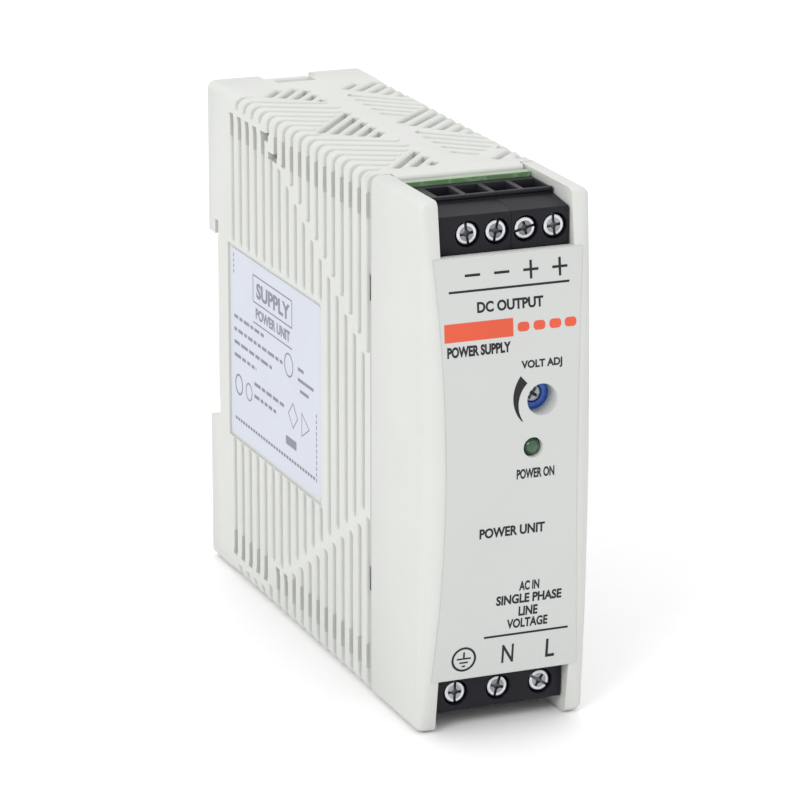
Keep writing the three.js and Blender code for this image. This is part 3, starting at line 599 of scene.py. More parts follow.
def vent_elbows(side):
    """Short cross slots beside the last inner vent and the first outer vent of the top row."""
    inner = inner_y(REAR_VENTS - 1)
    outer = outer_y(REAR_VENTS)
    return [
        wall_block(side, OUTSIDE, inner - INNER_ELBOW["reach"], inner, INNER_ELBOW["bottom"], VENTS_TOP[1]),
        wall_block(side, OUTSIDE, outer, outer + OUTER_ELBOW["reach"], VENTS_TOP[0], OUTER_ELBOW["top"]),
    ]


# The top and bottom pattern: diagonal grooves inside triangles ("wedges"), cross grooves outside them.
# "diagonal" and "low" are the slopes of a wedge's two sides, and "wedges" holds the wedges' points. "first" is
# where the first diagonal meets the spine, and "groups" numbers the diagonals.
HALVES = {
    "left": {
        "spine": LEFT_SPINE, "edge": -HALF_WIDTH, "diagonal": 1.27, "cross": -0.5, "low": -0.87,
        "first": 98.5, "wedges": ((-11.4, 84.0), (-11.4, 52.8), (-9.8, 23.9)),
        "groups": ((0, 7), (8, 15), (16, 19)),
    },
    "right": {
        "spine": RIGHT_SPINE, "edge": HALF_WIDTH, "diagonal": 1.0, "cross": -0.93, "low": -1.36,
        "first": 85.7, "wedges": ((3.6, 86.2), (3.6, 54.4), (4.6, 23.6)),
        "groups": ((0, 6), (8, 15), (16, 19)),
    },
}
CLEAR = 1.15


def in_wedge(half, x, y, clear):
    """True where a point lies in one of the diagonal triangles, grown by a clearance in y."""
    for apex_x, apex_y in half["wedges"]:
        high = apex_y + half["diagonal"] * (x - apex_x) + clear * 1.5
        low = apex_y + half["low"] * (x - apex_x) - clear * 1.2
        if x > apex_x - clear and low < y < high:
            return True
    return False


def runs(x0, x1, line, allowed, shortest):
    """The stretches of a line, from x0 to x1, on which every point is allowed, without the short ones."""
    found = []
    start = None
    last = None
    for x in evenly(x0, x1, 0.1):
        if allowed(x, line(x)):
            start = x if start is None else start
            last = x
        elif start is not None:
            found.append((start, last))
            start = None
    if start is not None:
        found.append((start, last))
    return [(a, b) for a, b in found if abs(b - a) > shortest]


def cross_lines(half):
    """Cross grooves, numbered so that they meet the outer grooves of the side at the edge."""
    for k in range(-4, GROOVE_COUNT + 4):
        yield k, lambda x, k=k: outer_y(k) + half["cross"] * (x - half["edge"])


def diagonal_lines(half):
    for first, last in half["groups"]:
        for j in range(first, last):
            yield lambda x, j=j: half["first"] - PITCH * j + half["diagonal"] * (x - half["spine"])


def pattern(half_name):
    """One half's cross runs by number, and its diagonal runs. A run is a pair of points in x and y."""
    half = HALVES[half_name]
    sign = 1 if half["edge"] > 0 else -1
    ends = sorted((half["spine"] + sign * SPINE_CLEAR, half["edge"] + sign * BEYOND))

    def plain(x, y):
        return PATTERN_FRONT < y < PATTERN_BACK and not in_wedge(half, x, y, CLEAR)

    def wedge(x, y):
        return PATTERN_FRONT < y < PATTERN_BACK and in_wedge(half, x, y, 0)

    def found(line, allowed, shortest):
        return [((a, line(a)), (b, line(b))) for a, b in runs(*ends, line, allowed, shortest)]

    cross = {k: found(line, plain, SHORTEST_RUN["cross"]) for k, line in cross_lines(half)}
    shortest = SHORTEST_RUN["diagonal"]
    diagonals = [run for line in diagonal_lines(half) for run in found(line, wedge, shortest)]
    return cross, diagonals


def edge_grooves(up):
    """Cutters for the outer grooves with the cross grooves that they turn into, and for the other ones."""
    z = HEIGHT if up > 0 else 0
    out = Vector((0, 0, up))
    wrapped = []
    plain = []
    for half_name, half in HALVES.items():
        side = 1 if half["edge"] > 0 else -1
        cross = pattern(half_name)[0]
        reached = {}
        for k, found in cross.items():
            for (x0, y0), (x1, y1) in found:
                outermost, innermost = (x1, x0) if side > 0 else (x0, x1)
                if side * outermost > HALF_WIDTH and 0 <= k < GROOVE_COUNT:
                    reached[k] = innermost
                else:
                    plain.append(groove((x0, y0, z), (x1, y1, z), out))
        for k in range(GROOVE_COUNT):
            x_end = reached.get(k, side * (HALF_WIDTH - RIB_EDGE_RADIUS - 0.8))
            wrapped.append(wrapped_groove(side, up, k, half["cross"], x_end))
    return wrapped, plain


def diagonal_grooves(up):
    """Cutters for the diagonal grooves, and for the holes at their ends beside the left of the spine."""
    z = HEIGHT if up > 0 else 0
    out = Vector((0, 0, up))
    cutters = []
    holes = []
    for half_name in HALVES:
        for (x0, y0), (x1, y1) in pattern(half_name)[1]:
            start = Vector((x0, y0, z))
            end = Vector((x1, y1, z))
            cutters.append(groove(start, end, out, DIAGONAL))
            if half_name == "left" and x1 > LEFT_SPINE - 1.0:
                direction = (end - start).normalized()
                holes.append(groove(end - direction * HOLE_LENGTH, end, out, HOLE))
    return cutters, holes


# ---------------------------------------------------------------- housing

def housing_ring(y, radius, steps=6):
    """The housing's outline at a depth."""
    return [(u, y, v + MIDDLE) for u, v in rounded_outline(HALF_WIDTH, MIDDLE, radius, steps)]


def housing_outside():
    """The outer tube. Its long edges are rounder where the ribs wrap over them."""
    stations = [(HOUSING_FRONT, 0), (22.0, 0)]
    stations += [(y, (1 - math.cos(math.pi * i / 5)) / 2) for i, y in enumerate(evenly(22.4, 25.0, 0.52))]
    stations += [(y, (1 + math.cos(math.pi * i / 6)) / 2) for i, y in enumerate(evenly(87.0, 92.0, 0.84))]
    stations += [(BODY_DEPTH - 0.5, 0)]
    rings = [housing_ring(y, EDGE_RADIUS + (RIB_EDGE_RADIUS - EDGE_RADIUS) * share) for y, share in stations]
    inset = 0.3
    outline = rounded_outline(HALF_WIDTH - inset, MIDDLE - inset, EDGE_RADIUS - inset + 0.1, 6)
    rings.append([(u, BODY_DEPTH, v + MIDDLE) for u, v in outline])
    return loft(rings)


def rail_cuts():
    """The rail notch with its hook slot, and the channel for the latch."""
    back = BODY_DEPTH + 1
    relief = SEAT_Y - GAP
    bottom, top = NOTCH
    notch = [
        (relief, bottom), (back, bottom - RAMP_DROP), (back, top), (HOOK_SLOT[0], top), HOOK_SLOT,
        (relief, HOOK_SLOT[1]), (relief, top - 0.1), (SEAT_Y, top - 0.1), (SEAT_Y, SEAT_BOTTOM),
        (relief, SEAT_BOTTOM),
    ]
    return [prism_x(notch, -OUTSIDE, OUTSIDE)]


def channel_cuts():
    half = CHANNEL_HALF
    mouth = CHANNEL_MOUTH_HALF
    wide = block(-half, half, *CHANNEL, -1, NOTCH[0] + 1)
    narrow = block(-mouth, mouth, CHANNEL[1] - 0.5, BODY_DEPTH + 1, -1, NOTCH[0] + 1)
    return wide, narrow


def foot_pockets():
    back = BODY_DEPTH - WALL
    inside = CHANNEL_HALF + WALL
    low = NOTCH[0] - WALL - RAMP_DROP
    return [
        block(-INNER, INNER, CAVITY_BACK - 1, back, HOOK_SLOT[1] + WALL, HEIGHT - WALL),
        block(-INNER, -inside, CAVITY_BACK - 1, back, WALL, low),
        block(inside, INNER, CAVITY_BACK - 1, back, WALL, low),
    ]


def rear_scoops():
    """Cutters for a finger slot across the top, and for the rim behind it that drops to the rear edge.

    The outlines are in y and in the drop below the top.
    """
    slot = [(92.9, 1.5), (96.1, 1.5), (96.3, 0.5), (96.5, 0.25), (96.9, 0.1), (97.3, -1), (92.9, -1)]
    rim = [(96.2, 0), (97.2, 0.2), (98.6, 0.42), (100.6, 0.9), (100.6, -1), (96.2, -1)]
    return [prism_x([(y, HEIGHT - drop) for y, drop in outline], x0, x1)
            for outline, x0, x1 in ((slot, -4.0, 3.4), (rim, -5.2, 4.6))]


def lip(edge, inwards):
    """The beam between a pair of ears. Its outer front edge is well rounded."""
    arc = [(LIP_FRONT + LIP_ROUND * (1 - math.cos(a)), edge + inwards * LIP_ROUND * (1 - math.sin(a)))
           for a in (math.pi / 2 * i / 7 for i in range(8))]
    profile = [(LIP_FRONT, edge + inwards * WALL)] + arc
    profile += [(HOUSING_FRONT + 1.0, edge), (HOUSING_FRONT + 1.0, edge + inwards * WALL)]
    return prism_x(profile, GAP - EAR_INNER, EAR_INNER - GAP)


def label_recess():
    margin = LABEL["margin"]
    return block(-OUTSIDE, -HALF_WIDTH + LABEL["recess"], LABEL["front"] - margin, LABEL["back"] + margin,
                 LABEL["bottom"] - margin, LABEL["top"] + margin)


def snap_rooms(outer, depth):
    """Rooms for the cover's four tongues, out to a distance from the middle and back to a depth."""
    return [wall_block(side, outer, HOUSING_FRONT - 1, HOUSING_FRONT + depth, z - SNAP_HALF, z + SNAP_HALF)
            for side in (-1, 1) for z in SNAP_HEIGHTS]


def build_housing():
    """The tube. Cutters that would touch each other go in separate batches."""
    mesh = new_mesh("housing", *housing_outside())
    mesh = boolean(mesh, [lip(0, 1), lip(HEIGHT, -1)], "UNION")
    batches = [inner_grooves(-1) + inner_grooves(1)]
    for up in (1, -1):
        batches += [*edge_grooves(up), *diagonal_grooves(up)]
    batches.append([block(-INNER, INNER, HOUSING_FRONT - 3, CAVITY_BACK, WALL, HEIGHT - WALL)])
    batches += [side_vents(-1) + side_vents(1), vent_elbows(-1) + vent_elbows(1), rail_cuts()]
    batches += [[cutter] for cutter in channel_cuts()]
    batches += [foot_pockets(), [label_recess()]]
    batches += [[cutter] for cutter in rear_scoops()]
    batches.append(snap_rooms(OUTSIDE, SNAP_WINDOW))
    batches.append(snap_rooms(HALF_WIDTH - SNAP_POCKET["skin"], SNAP_POCKET["depth"]))
    for batch in batches:
        mesh = boolean(mesh, batch)
    mesh = boolean(mesh, [block(*SPRING_SEAT)], "UNION")
    finish_piece(link("housing_shell", tidy_mesh(mesh)), SHELL, "shell", "housing", angle=32)


# ---------------------------------------------------------------- front cover

def bow(z):
    return 1 - ((z - MIDDLE) / MIDDLE) ** 2


def cover_front(z):
    return -COVER_BULGE * bow(z)


def fillet(z):
    return FILLET_ENDS + (FILLET_MIDDLE - FILLET_ENDS) * bow(z)


def round_off(z, radius):
    """How far a rounded end has drawn in, at a height near the top or bottom."""
    from_end = min(z, HEIGHT - z)
    if from_end >= radius:
        return 0
    return radius - math.sqrt(radius ** 2 - (radius - from_end) ** 2)


def cover_ring(z, steps=9):
    side = HALF_WIDTH - round_off(z, EDGE_RADIUS)
    front = cover_front(z) + round_off(z, 1.0)
    radius = fillet(z)
    ring = [(side, COVER_BACK, z), (-side, COVER_BACK, z)]
    for sign in (-1, 1):
        for i in range(steps + 1):
            turn = math.pi / 2 * (i if sign < 0 else steps - i) / steps
            x = sign * (side - radius + radius * math.cos(turn))
            ring.append((x, front + radius - radius * math.sin(turn), z))
    return ring


def behind_panel(z0, z1, back, half_width):
    curve = [(cover_front(z) + PANEL_WALL, z) for z in evenly(z0, z1, 1.5)]
    return prism_x(curve + [(back, z1), (back, z0)], -half_width, half_width)


def snap_tongues(outer, y0, y1):
    """A block for each of the cover's four tongues, out to a distance from the middle."""
    half = SNAP_HALF - GAP
    return [block(*sorted((side * (EAR_INNER + 0.1), side * outer)), y0, y1, z - half, z + half)
            for side in (-1, 1) for z in SNAP_HEIGHTS]


def build_cover():
    ends = [EDGE_RADIUS * (1 - math.cos(math.pi / 2 * i / 6)) for i in range(6)]
    stations = ends + evenly(EDGE_RADIUS, HEIGHT - EDGE_RADIUS, 1.2) + [HEIGHT - z for z in reversed(ends)]
    mesh = new_mesh("cover", *loft([cover_ring(z) for z in stations]))
    mesh = boolean(mesh, [behind_panel(11, 79, 15, INNER)])
    mesh = boolean(mesh, [behind_panel(-1, HEIGHT + 1, 22, EAR_INNER)])
    mesh = boolean(mesh, [block(-INNER, INNER, LIP_FRONT, 22, WALL, HEIGHT - WALL)])
    mesh = boolean(mesh, [cylinder_y(*TRIMMER_HOLE[:2], TRIMMER_TUBE[0], -3, TRIMMER_TUBE[1])], "UNION")
    mesh = boolean(mesh, [
        block(-EAR_INNER, EAR_INNER, -6, 5, PANEL[1], HEIGHT + 1),
        block(-EAR_INNER, EAR_INNER, -6, 5, -1, PANEL[0]),
        cylinder_y(*TRIMMER_HOLE, -6, 1),
        cylinder_y(*LED_HOLE, -6, 0),
    ])
    tongue = INNER - GAP
    mesh = boolean(mesh, snap_tongues(tongue, LIP_FRONT - 1.5, 24.9), "UNION")
    mesh = boolean(mesh, snap_tongues(tongue + 0.6, 20.9, 21.3), "UNION")
    finish_piece(link("cover_shell", tidy_mesh(mesh, 0.18, 50)), SHELL, "shell", "front_cover", angle=30)


def film_back(z):
    """The film's rear surface, just off the cover."""
    return cover_front(z) - 0.01


def build_film():
    rings = []
    for z in evenly(PANEL[0] + 0.2, PANEL[1] - 0.1, 1.2):
        side = HALF_WIDTH - fillet(z)
        back = film_back(z)
        rings.append([(side, back, z), (-side, back, z), (-side, back - FILM, z), (side, back - FILM, z)])
    mesh = new_mesh("film", *loft(rings))
    holes = (TRIMMER_HOLE, LED_HOLE)
    mesh = boolean(mesh, [cylinder_y(x, z, radius + 0.05, -6, 0) for x, z, radius in holes])
    # The film's darker grey is painted shade of the front-facing panel.
    finish_piece(link("overlay_film", tidy_mesh(mesh)), OVERLAY_WITH_PAINTED_SHADE, "overlay", "front_overlay", angle=30)


# ---------------------------------------------------------------- prints

PROUD = 0.02
TEXT_WEIGHT = 0.036


def front_point(u, v, depth):
    """A point of the front's print, u across and v up, at a depth behind its face."""
    return Vector((u, film_back(v) - FILM - PROUD + depth, v))


def label_point(u, v, depth):
    """A point of the left label's print, with u towards the front."""
    return Vector((-HALF_WIDTH + LABEL["recess"] - LABEL["thickness"] - PROUD + depth, -u, v))


def stamp(outlines, point):
    """Closed thin solids for flat outlines [(u, v), ...] printed on a surface."""
    solids = []
    for outline in outlines:
        rings = [[point(u, v, depth) for u, v in outline] for depth in (0, PROUD * 3)]
        solids.append(loft(rings))
    return solids


def bar(u0, u1, v, thickness):
    """A bar in short pieces, so that it follows a curved surface."""
    steps = evenly(u0, u1, 4)
    low = [(u, v - thickness / 2) for u in steps]
    high = [(u, v + thickness / 2) for u in reversed(steps)]
    return low + high


def upright(u, v0, v1, thickness):
    steps = evenly(v0, v1, 1.0)
    return [(u - thickness / 2, v) for v in reversed(steps)] + [(u + thickness / 2, v) for v in steps]


def pill(u, v, half_u, half_v, corner):
    return [(u + du, v + dv) for du, dv in rounded_outline(half_u, half_v, corner, 5)]


def lettering(text, u0, u1, v, cap, point, weight=TEXT_WEIGHT):
    """A word between u0 and u1, its capitals cap high and centred on v, as a closed solid."""
    curve = bpy.data.curves.new("word", "FONT")
    curve.body = text
    curve.align_x = "CENTER"
    curve.offset = weight
    curve.resolution_u = 4
    mesh = evaluated_mesh(link("word", curve))
    xs = [vertex.co.x for vertex in mesh.vertices]
    ys = [vertex.co.y for vertex in mesh.vertices]
    wide = (u1 - u0) / (max(xs) - min(xs))
    tall = cap / (max(ys) - min(ys))
    work = bmesh.new()
    work.from_mesh(mesh)
    bmesh.ops.remove_doubles(work, verts=work.verts, dist=1e-5)
    outline = work.faces[:]
    raised = bmesh.ops.extrude_face_region(work, geom=outline)
    raised_verts = {item for item in raised["geom"] if isinstance(item, bmesh.types.BMVert)}
    for vertex in work.verts:
        u = u0 + (vertex.co.x - min(xs)) * wide
        w = v + (vertex.co.y - min(ys)) * tall - cap / 2
        depth = 0 if vertex in raised_verts else PROUD * 3
        vertex.co = place(point(u, w, depth))
    bmesh.ops.recalc_face_normals(work, faces=work.faces)
    work.to_mesh(mesh)
    work.free()
    return mesh


def add_print(name, outlines, words, point, material, slot, body=BODY):
    """One printed colour: outlines and words joined into one piece."""
    work = bmesh.new()
    meshes = [lettering(*word, point=point) if len(word) == 5 else lettering(*word) for word in words]
    if outlines:
        meshes.append(new_mesh(name, *merged(stamp(outlines, point))))
    for mesh in meshes:
        work.from_mesh(mesh)
        bpy.data.meshes.remove(mesh)
    joined = bpy.data.meshes.new(name)
    work.to_mesh(joined)
    work.free()
    finish_piece(link(name, joined), material, slot, body=body, angle=20)


def ring_outlines(u, v, radius, thickness, segments=40):
    """A ring as short arcs, each a closed outline."""
    outlines = []
    for i in range(segments):
        turns = [2 * math.pi * (i + step) / segments for step in (0, 1)]
        inner, outer = ([(u + r * math.cos(t), v + r * math.sin(t)) for t in turns]
                        for r in (radius - thickness, radius))
        outlines.append([inner[0], outer[0], outer[1], inner[1]])
    return outlines


def wedge_mark(u, v, radius, thickest, start, stop, steps=20):
    """The trimmer's mark: an arc that swells from nothing to its thickest."""
    inner = []
    outer = []
    for i in range(steps + 1):
        share = i / steps
        turn = math.radians(start + (stop - start) * share)
        inner.append((u + radius * math.cos(turn), v + radius * math.sin(turn)))
        swollen = radius + 0.15 + thickest * share
        outer.append((u + swollen * math.cos(turn), v + swollen * math.sin(turn)))
    return inner + outer[::-1]


def output_signs():
    """Minus, minus, plus, plus under the output terminals."""
    outlines = []
    for i, u in enumerate((-6.4, -1.3, 3.8, 8.9)):
        outlines.append(bar(u - 1.33, u + 1.33, 77.9, 0.42))
        if i > 1:
            outlines.append(upright(u, 78.11, 79.4, 0.42))
            outlines.append(upright(u, 76.4, 77.69, 0.42))
    return outlines


def earth_mark(u, v):
    outlines = ring_outlines(u, v, 2.2, 0.38)
    outlines.append(upright(u, v + 0.26, v + 1.3, 0.32))
    for drop, half in ((0.1, 1.25), (-0.6, 0.75), (-1.25, 0.3)):
        outlines.append(bar(u - half, u + half, v + drop, 0.28))
    return outlines


def add_front_prints():
    """The front's words and marks. A word comes with its ends, its height and its capitals' height."""
    rule = 0.37
    outlines = output_signs() + earth_mark(-7.5, 12.8)
    outlines.append(bar(-10.6, 10.5, 75.4, rule))
    outlines.append(bar(-4.1, 11.0, 16.2, rule))
    outlines.append(wedge_mark(TRIMMER_HOLE[0] + 0.65, TRIMMER_HOLE[1] - 0.65, 4.85, 1.6, 213, 132))
    words = [
        ("DC OUTPUT", -5.8, 5.8, 72.6, 1.8),
        ("POWER SUPPLY", -11.2, -0.1, 65.7, 1.8, front_point, 0.045),
        ("VOLT ADJ", 1.7, 8.9, 62.3, 1.7),
        ("POWER ON", 0.8, 7.5, 44.2, 1.7),
        ("POWER UNIT", -5.6, 6.0, 34.7, 1.75),
        ("AC IN", 1.8, 5.4, 24.7, 1.7),
        ("SINGLE PHASE", -2.2, 9.5, 22.5, 1.7),
        ("LINE", 1.9, 5.3, 20.2, 1.7),
        ("VOLTAGE", -0.1, 7.2, 18.1, 1.7),
        ("N", -0.7, 1.4, 12.8, 3.3, front_point, 0.012),
        ("L", 7.2, 8.8, 12.8, 3.3, front_point, 0.012),
    ]
    marks = [pill(u, 68.75, 1.03, 0.77, 0.6) for u in (2.2, 5.0, 7.8, 10.5)]
    name_bar = [bar(-11.6, 0.4, 68.85, 3.0)]
    add_print("front_print", outlines, words, front_point, INK, "overlay")
    add_print("front_colour", name_bar + marks, [], front_point, RED_INK, "overlay")


# The label's print, with u towards the front: the panel's ends and line, the rows of dashes as (v, start, end),
# and the rings as (u, v, radius, thickness, segments). The last two rings are a triangle and a diamond.
PANEL_ENDS = (-77.3, -57.8)
PANEL_LINE = 0.25
DASH_ROWS = (
    (49.3, -87.2, -72), (46.9, -87.2, -62.6), (44.5, -87.2, -68), (42.1, -87.2, -76), (39.2, -77.0, -62),
    (36.9, -77.0, -66),
)
LABEL_RINGS = (
    (-59.5, 47.3, 2.2, 0.3, 28), (-85.0, 36.8, 2.0, 0.4, 28), (-79.8, 36.8, 1.7, 0.3, 28),
    (-52.0, 38.2, 2.6, 0.4, 3), (-57.5, 38.6, 2.4, 0.3, 4),
)


def add_label():
    """The side label with made-up panels, lines and short words."""
    back = -HALF_WIDTH + LABEL["recess"]
    face = back - LABEL["thickness"]
    middle_u = -(LABEL["front"] + LABEL["back"]) / 2
    middle_v = (LABEL["bottom"] + LABEL["top"]) / 2
    half_u = (LABEL["back"] - LABEL["front"]) / 2
    half_v = (LABEL["top"] - LABEL["bottom"]) / 2
    outline = rounded_outline(half_u, half_v, LABEL["corner"], 4)
    rings = [[(x, -(middle_u + u), middle_v + v) for u, v in outline] for x in (back, face)]
    finish_piece(link("label_film", new_mesh("label", *loft(rings))), LABEL_FILM, "label", "side_label")
    outlines = [bar(*PANEL_ENDS, v, PANEL_LINE) for v in (59.3, 54.4, 50.6)]
    outlines += [upright(u, 54.55, 59.15, PANEL_LINE) for u in PANEL_ENDS]
    random.seed(7)
    for v, u, stop in DASH_ROWS:
        while u < stop:
            length = random.uniform(1.2, 3.6)
            outlines.append(bar(u, min(u + length, stop), v, 0.62))
            u += length + 0.7
    for ring in LABEL_RINGS:
        outlines += ring_outlines(*ring)
    outlines += [bar(-55.0, -52.2, 47.9, 0.6), bar(-55.0, -47.4, 46.0, 0.6), bar(-54.0, -49.8, 44.1, 0.6)]
    outlines += [bar(u, u + 0.9, 30.2, 0.55) for u in evenly(-87.0, -47.8, 1.3)]
    outlines += [upright(-46.1, v, v + 0.7, 0.35) for v in evenly(29.8, 41.4, 1.1)]
    outlines += [upright(-87.3, v, v + 0.6, 0.35) for v in evenly(57.2, 60.2, 1.0)]
    outlines += [pill(-58.5, 33.4, 2.6, 0.8, 0.2)]
    words = [("SUPPLY", -75.6, -58.9, 56.8, 2.9), ("POWER UNIT", -76.0, -58.8, 52.5, 2.0)]
    add_print("label_print", outlines, words, label_point, LABEL_INK, "label")


# ---------------------------------------------------------------- terminals

SCREW_Z = 84.1
OUTPUT_POLES = [1.3 + (i - 1.5) * 5.08 for i in range(4)]
SCREW = {
    "radius": 1.9, "thickness": 1.7, "hole": 2.2, "shaft": 1.2, "edge": 0.35, "pitch": 0.45, "slot": 0.75,
}
THREAD_DEPTH = 0.16
SHOULDER = {"lip": 6.6, "radius": 0.42}
SLOTS = {row["node"]: row["material_slot"] for row in frame["record"]["subparts"]}
BODIES = {node: body for body, nodes in frame["record"]["behaviour"]["bodies"].items() for node in nodes}
MATERIALS = {
    "zinc": ZINC, "tinned": TINNED, "board": BOARD, "trimmer_blue": TRIMMER_BLUE,
    "ferrite": FERRITE, "bobbin": BOBBIN, "winding": WINDING, "sleeve": SLEEVE, "film_case": FILM_CASE,
    "ceramic": CERAMIC, "epoxy": EPOXY, "fuse_tube": FUSE_TUBE, "aluminium": ALUMINIUM,
    "spring_steel": SPRING_STEEL, "latch": LATCH,
}
done = {"housing", "front_cover", "front_overlay", "side_label"}


def turned(profile, centre, segments=48):
    """A solid turned about an axis along Y from (radius, y) pairs that start and end on the axis."""
    x, z = centre
    turns = [2 * math.pi * i / segments for i in range(segments)]
    verts = [(x, profile[0][1], z), (x, profile[-1][1], z)]
    verts += [(x + r * math.cos(t), y, z + r * math.sin(t)) for r, y in profile[1:-1] for t in turns]
    faces = []
    rings = len(profile) - 2
    for i in range(segments):
        j = (i + 1) % segments
        faces.append((0, 2 + i, 2 + j))
        last = 2 + (rings - 1) * segments
        faces.append((1, last + j, last + i))
        for ring in range(rings - 1):
            a = 2 + ring * segments
            faces.append((a + i, a + segments + i, a + segments + j, a + j))
    return [Vector(v) for v in verts], faces


def finish_and_shade_faces(mesh, finishes_and_shades, choose):
    """Gives every face one of the given materials, some of them painted shade, by its distance from an axis
    along Y and its depth.
    """
    mesh.materials.clear()
    for finish in finishes_and_shades:
        mesh.materials.append(finish)
    for face in mesh.polygons:
        x, y, z = face.center / MM
        face.material_index = choose(x, y - SHIFT, z)
    return mesh


def cut_cross(mesh, centre, turn, bars, front, depth):
    """Cuts a crossed slot, turned about an axis along Y. The bars are (half length, half width) pairs."""
    x, z = centre
    spin = Matrix.Rotation(turn, 4, "Y")
    for half_u, half_v in bars:
        verts, faces = block(-half_u, half_u, front - 1, front + depth, -half_v, half_v)
        moved = [spin @ Vector((v.x, 0, v.z)) + Vector((x, v.y, z)) for v in verts]
        mesh = boolean(mesh, [(moved, faces)])
    return mesh


def build_screw(node, turn):
    """A clamp screw with a crossed slot: rounded rim, dished face, and a shaft with thread rings."""
    low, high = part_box(node)
    x = (low.x + high.x) / 2 / MM
    z = (low.z + high.z) / 2 / MM
    front = low.y / MM - SHIFT
    back = high.y / MM - SHIFT
    radius = SCREW["radius"]
    edge = SCREW["edge"]
    shaft = SCREW["shaft"]
    pitch = SCREW["pitch"]
    under_head = front + SCREW["thickness"]
    rim = [(radius - edge + edge * math.cos(a), front + 0.01 + edge - edge * math.sin(a))
           for a in (math.pi / 2, math.pi / 3, math.pi / 6, 0)]
    profile = [(0, front + 0.16), (radius * 0.66, front + 0.12)] + rim
    profile += [(radius, under_head), (shaft, under_head)]
    y = under_head + 0.3
    while y + pitch < back - 0.2:
        profile += [(shaft, y), (shaft - THREAD_DEPTH, y + pitch * 0.5)]
        y += pitch
    profile += [(shaft - 0.25, back - 0.05), (0, back)]
    mesh = new_mesh(node, *turned(profile, (x, z)))
    slot = SCREW["slot"]
    mesh = cut_cross(mesh, (x, z), turn, ((radius + 1, 0.24), (0.24, 1.2)), front, slot)
    cone = turned([(0, front - 0.5), (0.95, front - 0.5), (0.2, front + slot), (0, front + 0.8)], (x, z), 24)
    mesh = boolean(mesh, [cone])

    def zone(face_x, face_y, face_z):
        distance = math.hypot(face_x - x, face_z - z)
        # Faces inside the crossed slot get painted shade.
        if face_y > front + 0.2:
            return 2 if face_y < front + 1.0 and distance < radius * 0.85 else 0
        return 1 if distance < radius * 0.62 else 0

    mesh = finish_and_shade_faces(mesh, [ZINC, ZINC_FACE, ZINC_SLOT_PAINTED_SHADE], zone)
    finish_piece(link(node + "_metal", mesh), None, "zinc", node, body=BODIES[node], angle=32)
    done.add(node)


def build_output_block(node):
    """An output block: front face, sloping shoulder, rounded lip before the wire mouths, and the holes."""
    (x0, front, bottom), (x1, back, top) = limits(node)
    lip = front + SHOULDER["lip"]
    lip_radius = SHOULDER["radius"]
    arc = [(lip + lip_radius * math.cos(a), top - lip_radius + lip_radius * math.sin(a))
           for a in (math.radians(t) for t in (90, 120, 150, 180, 210, 240))]
    profile = [(front, bottom), (back, bottom), (back, top - 0.15)]
    profile += [(lip + 1.0, top - 0.15), (lip + 0.5, top)]
    profile += arc + [(lip - 0.3, top - 0.95), (front + 0.25, top - 1.72), (front, top - 2.0)]
    mesh = new_mesh(node, *prism_x(profile, x0, x1))
    poles = [x for x in OUTPUT_POLES if x0 < x < x1]
    for hole in (screw_hole, screw_bore, cage_room, wire_mouth, tail_room, contact_room):
        mesh = boolean(mesh, [hole(x, front, back, top) for x in poles])
    finish_block(node, tidy_mesh(mesh, 0.12, 40))


def screw_hole(x, front, back, top):
    return cylinder_y(x, SCREW_Z, SCREW["hole"], front - 1, front + 2.2)


def screw_bore(x, front, back, top):
    return cylinder_y(x, SCREW_Z, 1.45, front - 1, front + 3.9, 24)


def cage_room(x, front, back, top):
    return block(x - 2.3, x + 2.3, front + 2.9, front + 13.9, 81.3, 86.9)


def wire_mouth(x, front, back, top):
    return loft([rectangle(x - 1.75, x + 1.75, front + 9.0, front + 13.0, 85.8),
                 rectangle(x - 2.15, x + 2.15, front + 7.35, front + 13.4, top + 0.4)])


def tail_room(x, front, back, top):
    return block(x - 1.7, x + 1.7, front + 7.6, back + 1, 79.6, 81.0)


def contact_room(x, front, back, top):
    return block(x - 1.7, x + 1.7, front + 7.6, front + 8.9, 80.5, 82)


def finish_block(node, mesh):
    finish_piece(link(node + "_block", mesh), TERMINAL, "terminal", node)
    done.add(node)


def add_terminals():
    """The three terminal blocks, and their screws turned to different angles."""
    build_output_block("output_terminal_left")
    build_output_block("output_terminal_right")
    finish_block("input_terminal", copied_mesh("input_terminal", 0.12))
    random.seed(11)
    screws = [f"output_screw_{i}" for i in range(1, 5)] + [f"input_screw_{i}" for i in range(1, 4)]
    for node in screws:
        build_screw(node, random.uniform(0, math.pi))


# ---------------------------------------------------------------- boards and small parts

def add_boards():
    """Boards have green faces and pale, rough-cut edges."""
    for node, axis in (("front_board", 1), ("main_board", 0)):
        mesh = copied_mesh(node, 0.06, 1)
        piece = link(node + "_laminate", mesh)
        mesh.materials.clear()
        mesh.materials.append(BOARD)
        mesh.materials.append(BOARD_EDGE)
        for face in mesh.polygons:
            face.material_index = 0 if abs(face.normal[axis]) > 0.9 else 1
        finish_piece(piece, None, "board", node)
        done.add(node)


def add_trimmer_rotor():
    low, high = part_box("trimmer_rotor")
    front, back = low.y / MM - SHIFT, high.y / MM - SHIFT
    x, z = TRIMMER_HOLE[:2]
    radius = (high.x - low.x) / 2 / MM
    profile = [(0, front), (radius - 0.2, front), (radius, front + 0.2), (radius, back), (0, back)]
    mesh = new_mesh("rotor", *turned(profile, (x, z)))
    mesh = cut_cross(mesh, (x, z), math.radians(35), ((1.1, 0.27), (0.27, 1.1)), front, 0.6)
    # Faces inside the crossed slot get painted shade.
    mesh = finish_and_shade_faces(mesh, [TRIMMER_GREY, SLOT_SHADE], lambda face_x, face_y, face_z: (
        1 if face_y > front + 0.25 and math.hypot(face_x - x, face_z - z) < 1.2 else 0))
    piece = link("rotor_cross", mesh)
    finish_piece(piece, None, "trimmer_grey", "trimmer_rotor", body=BODIES["trimmer_rotor"])
    done.add("trimmer_rotor")


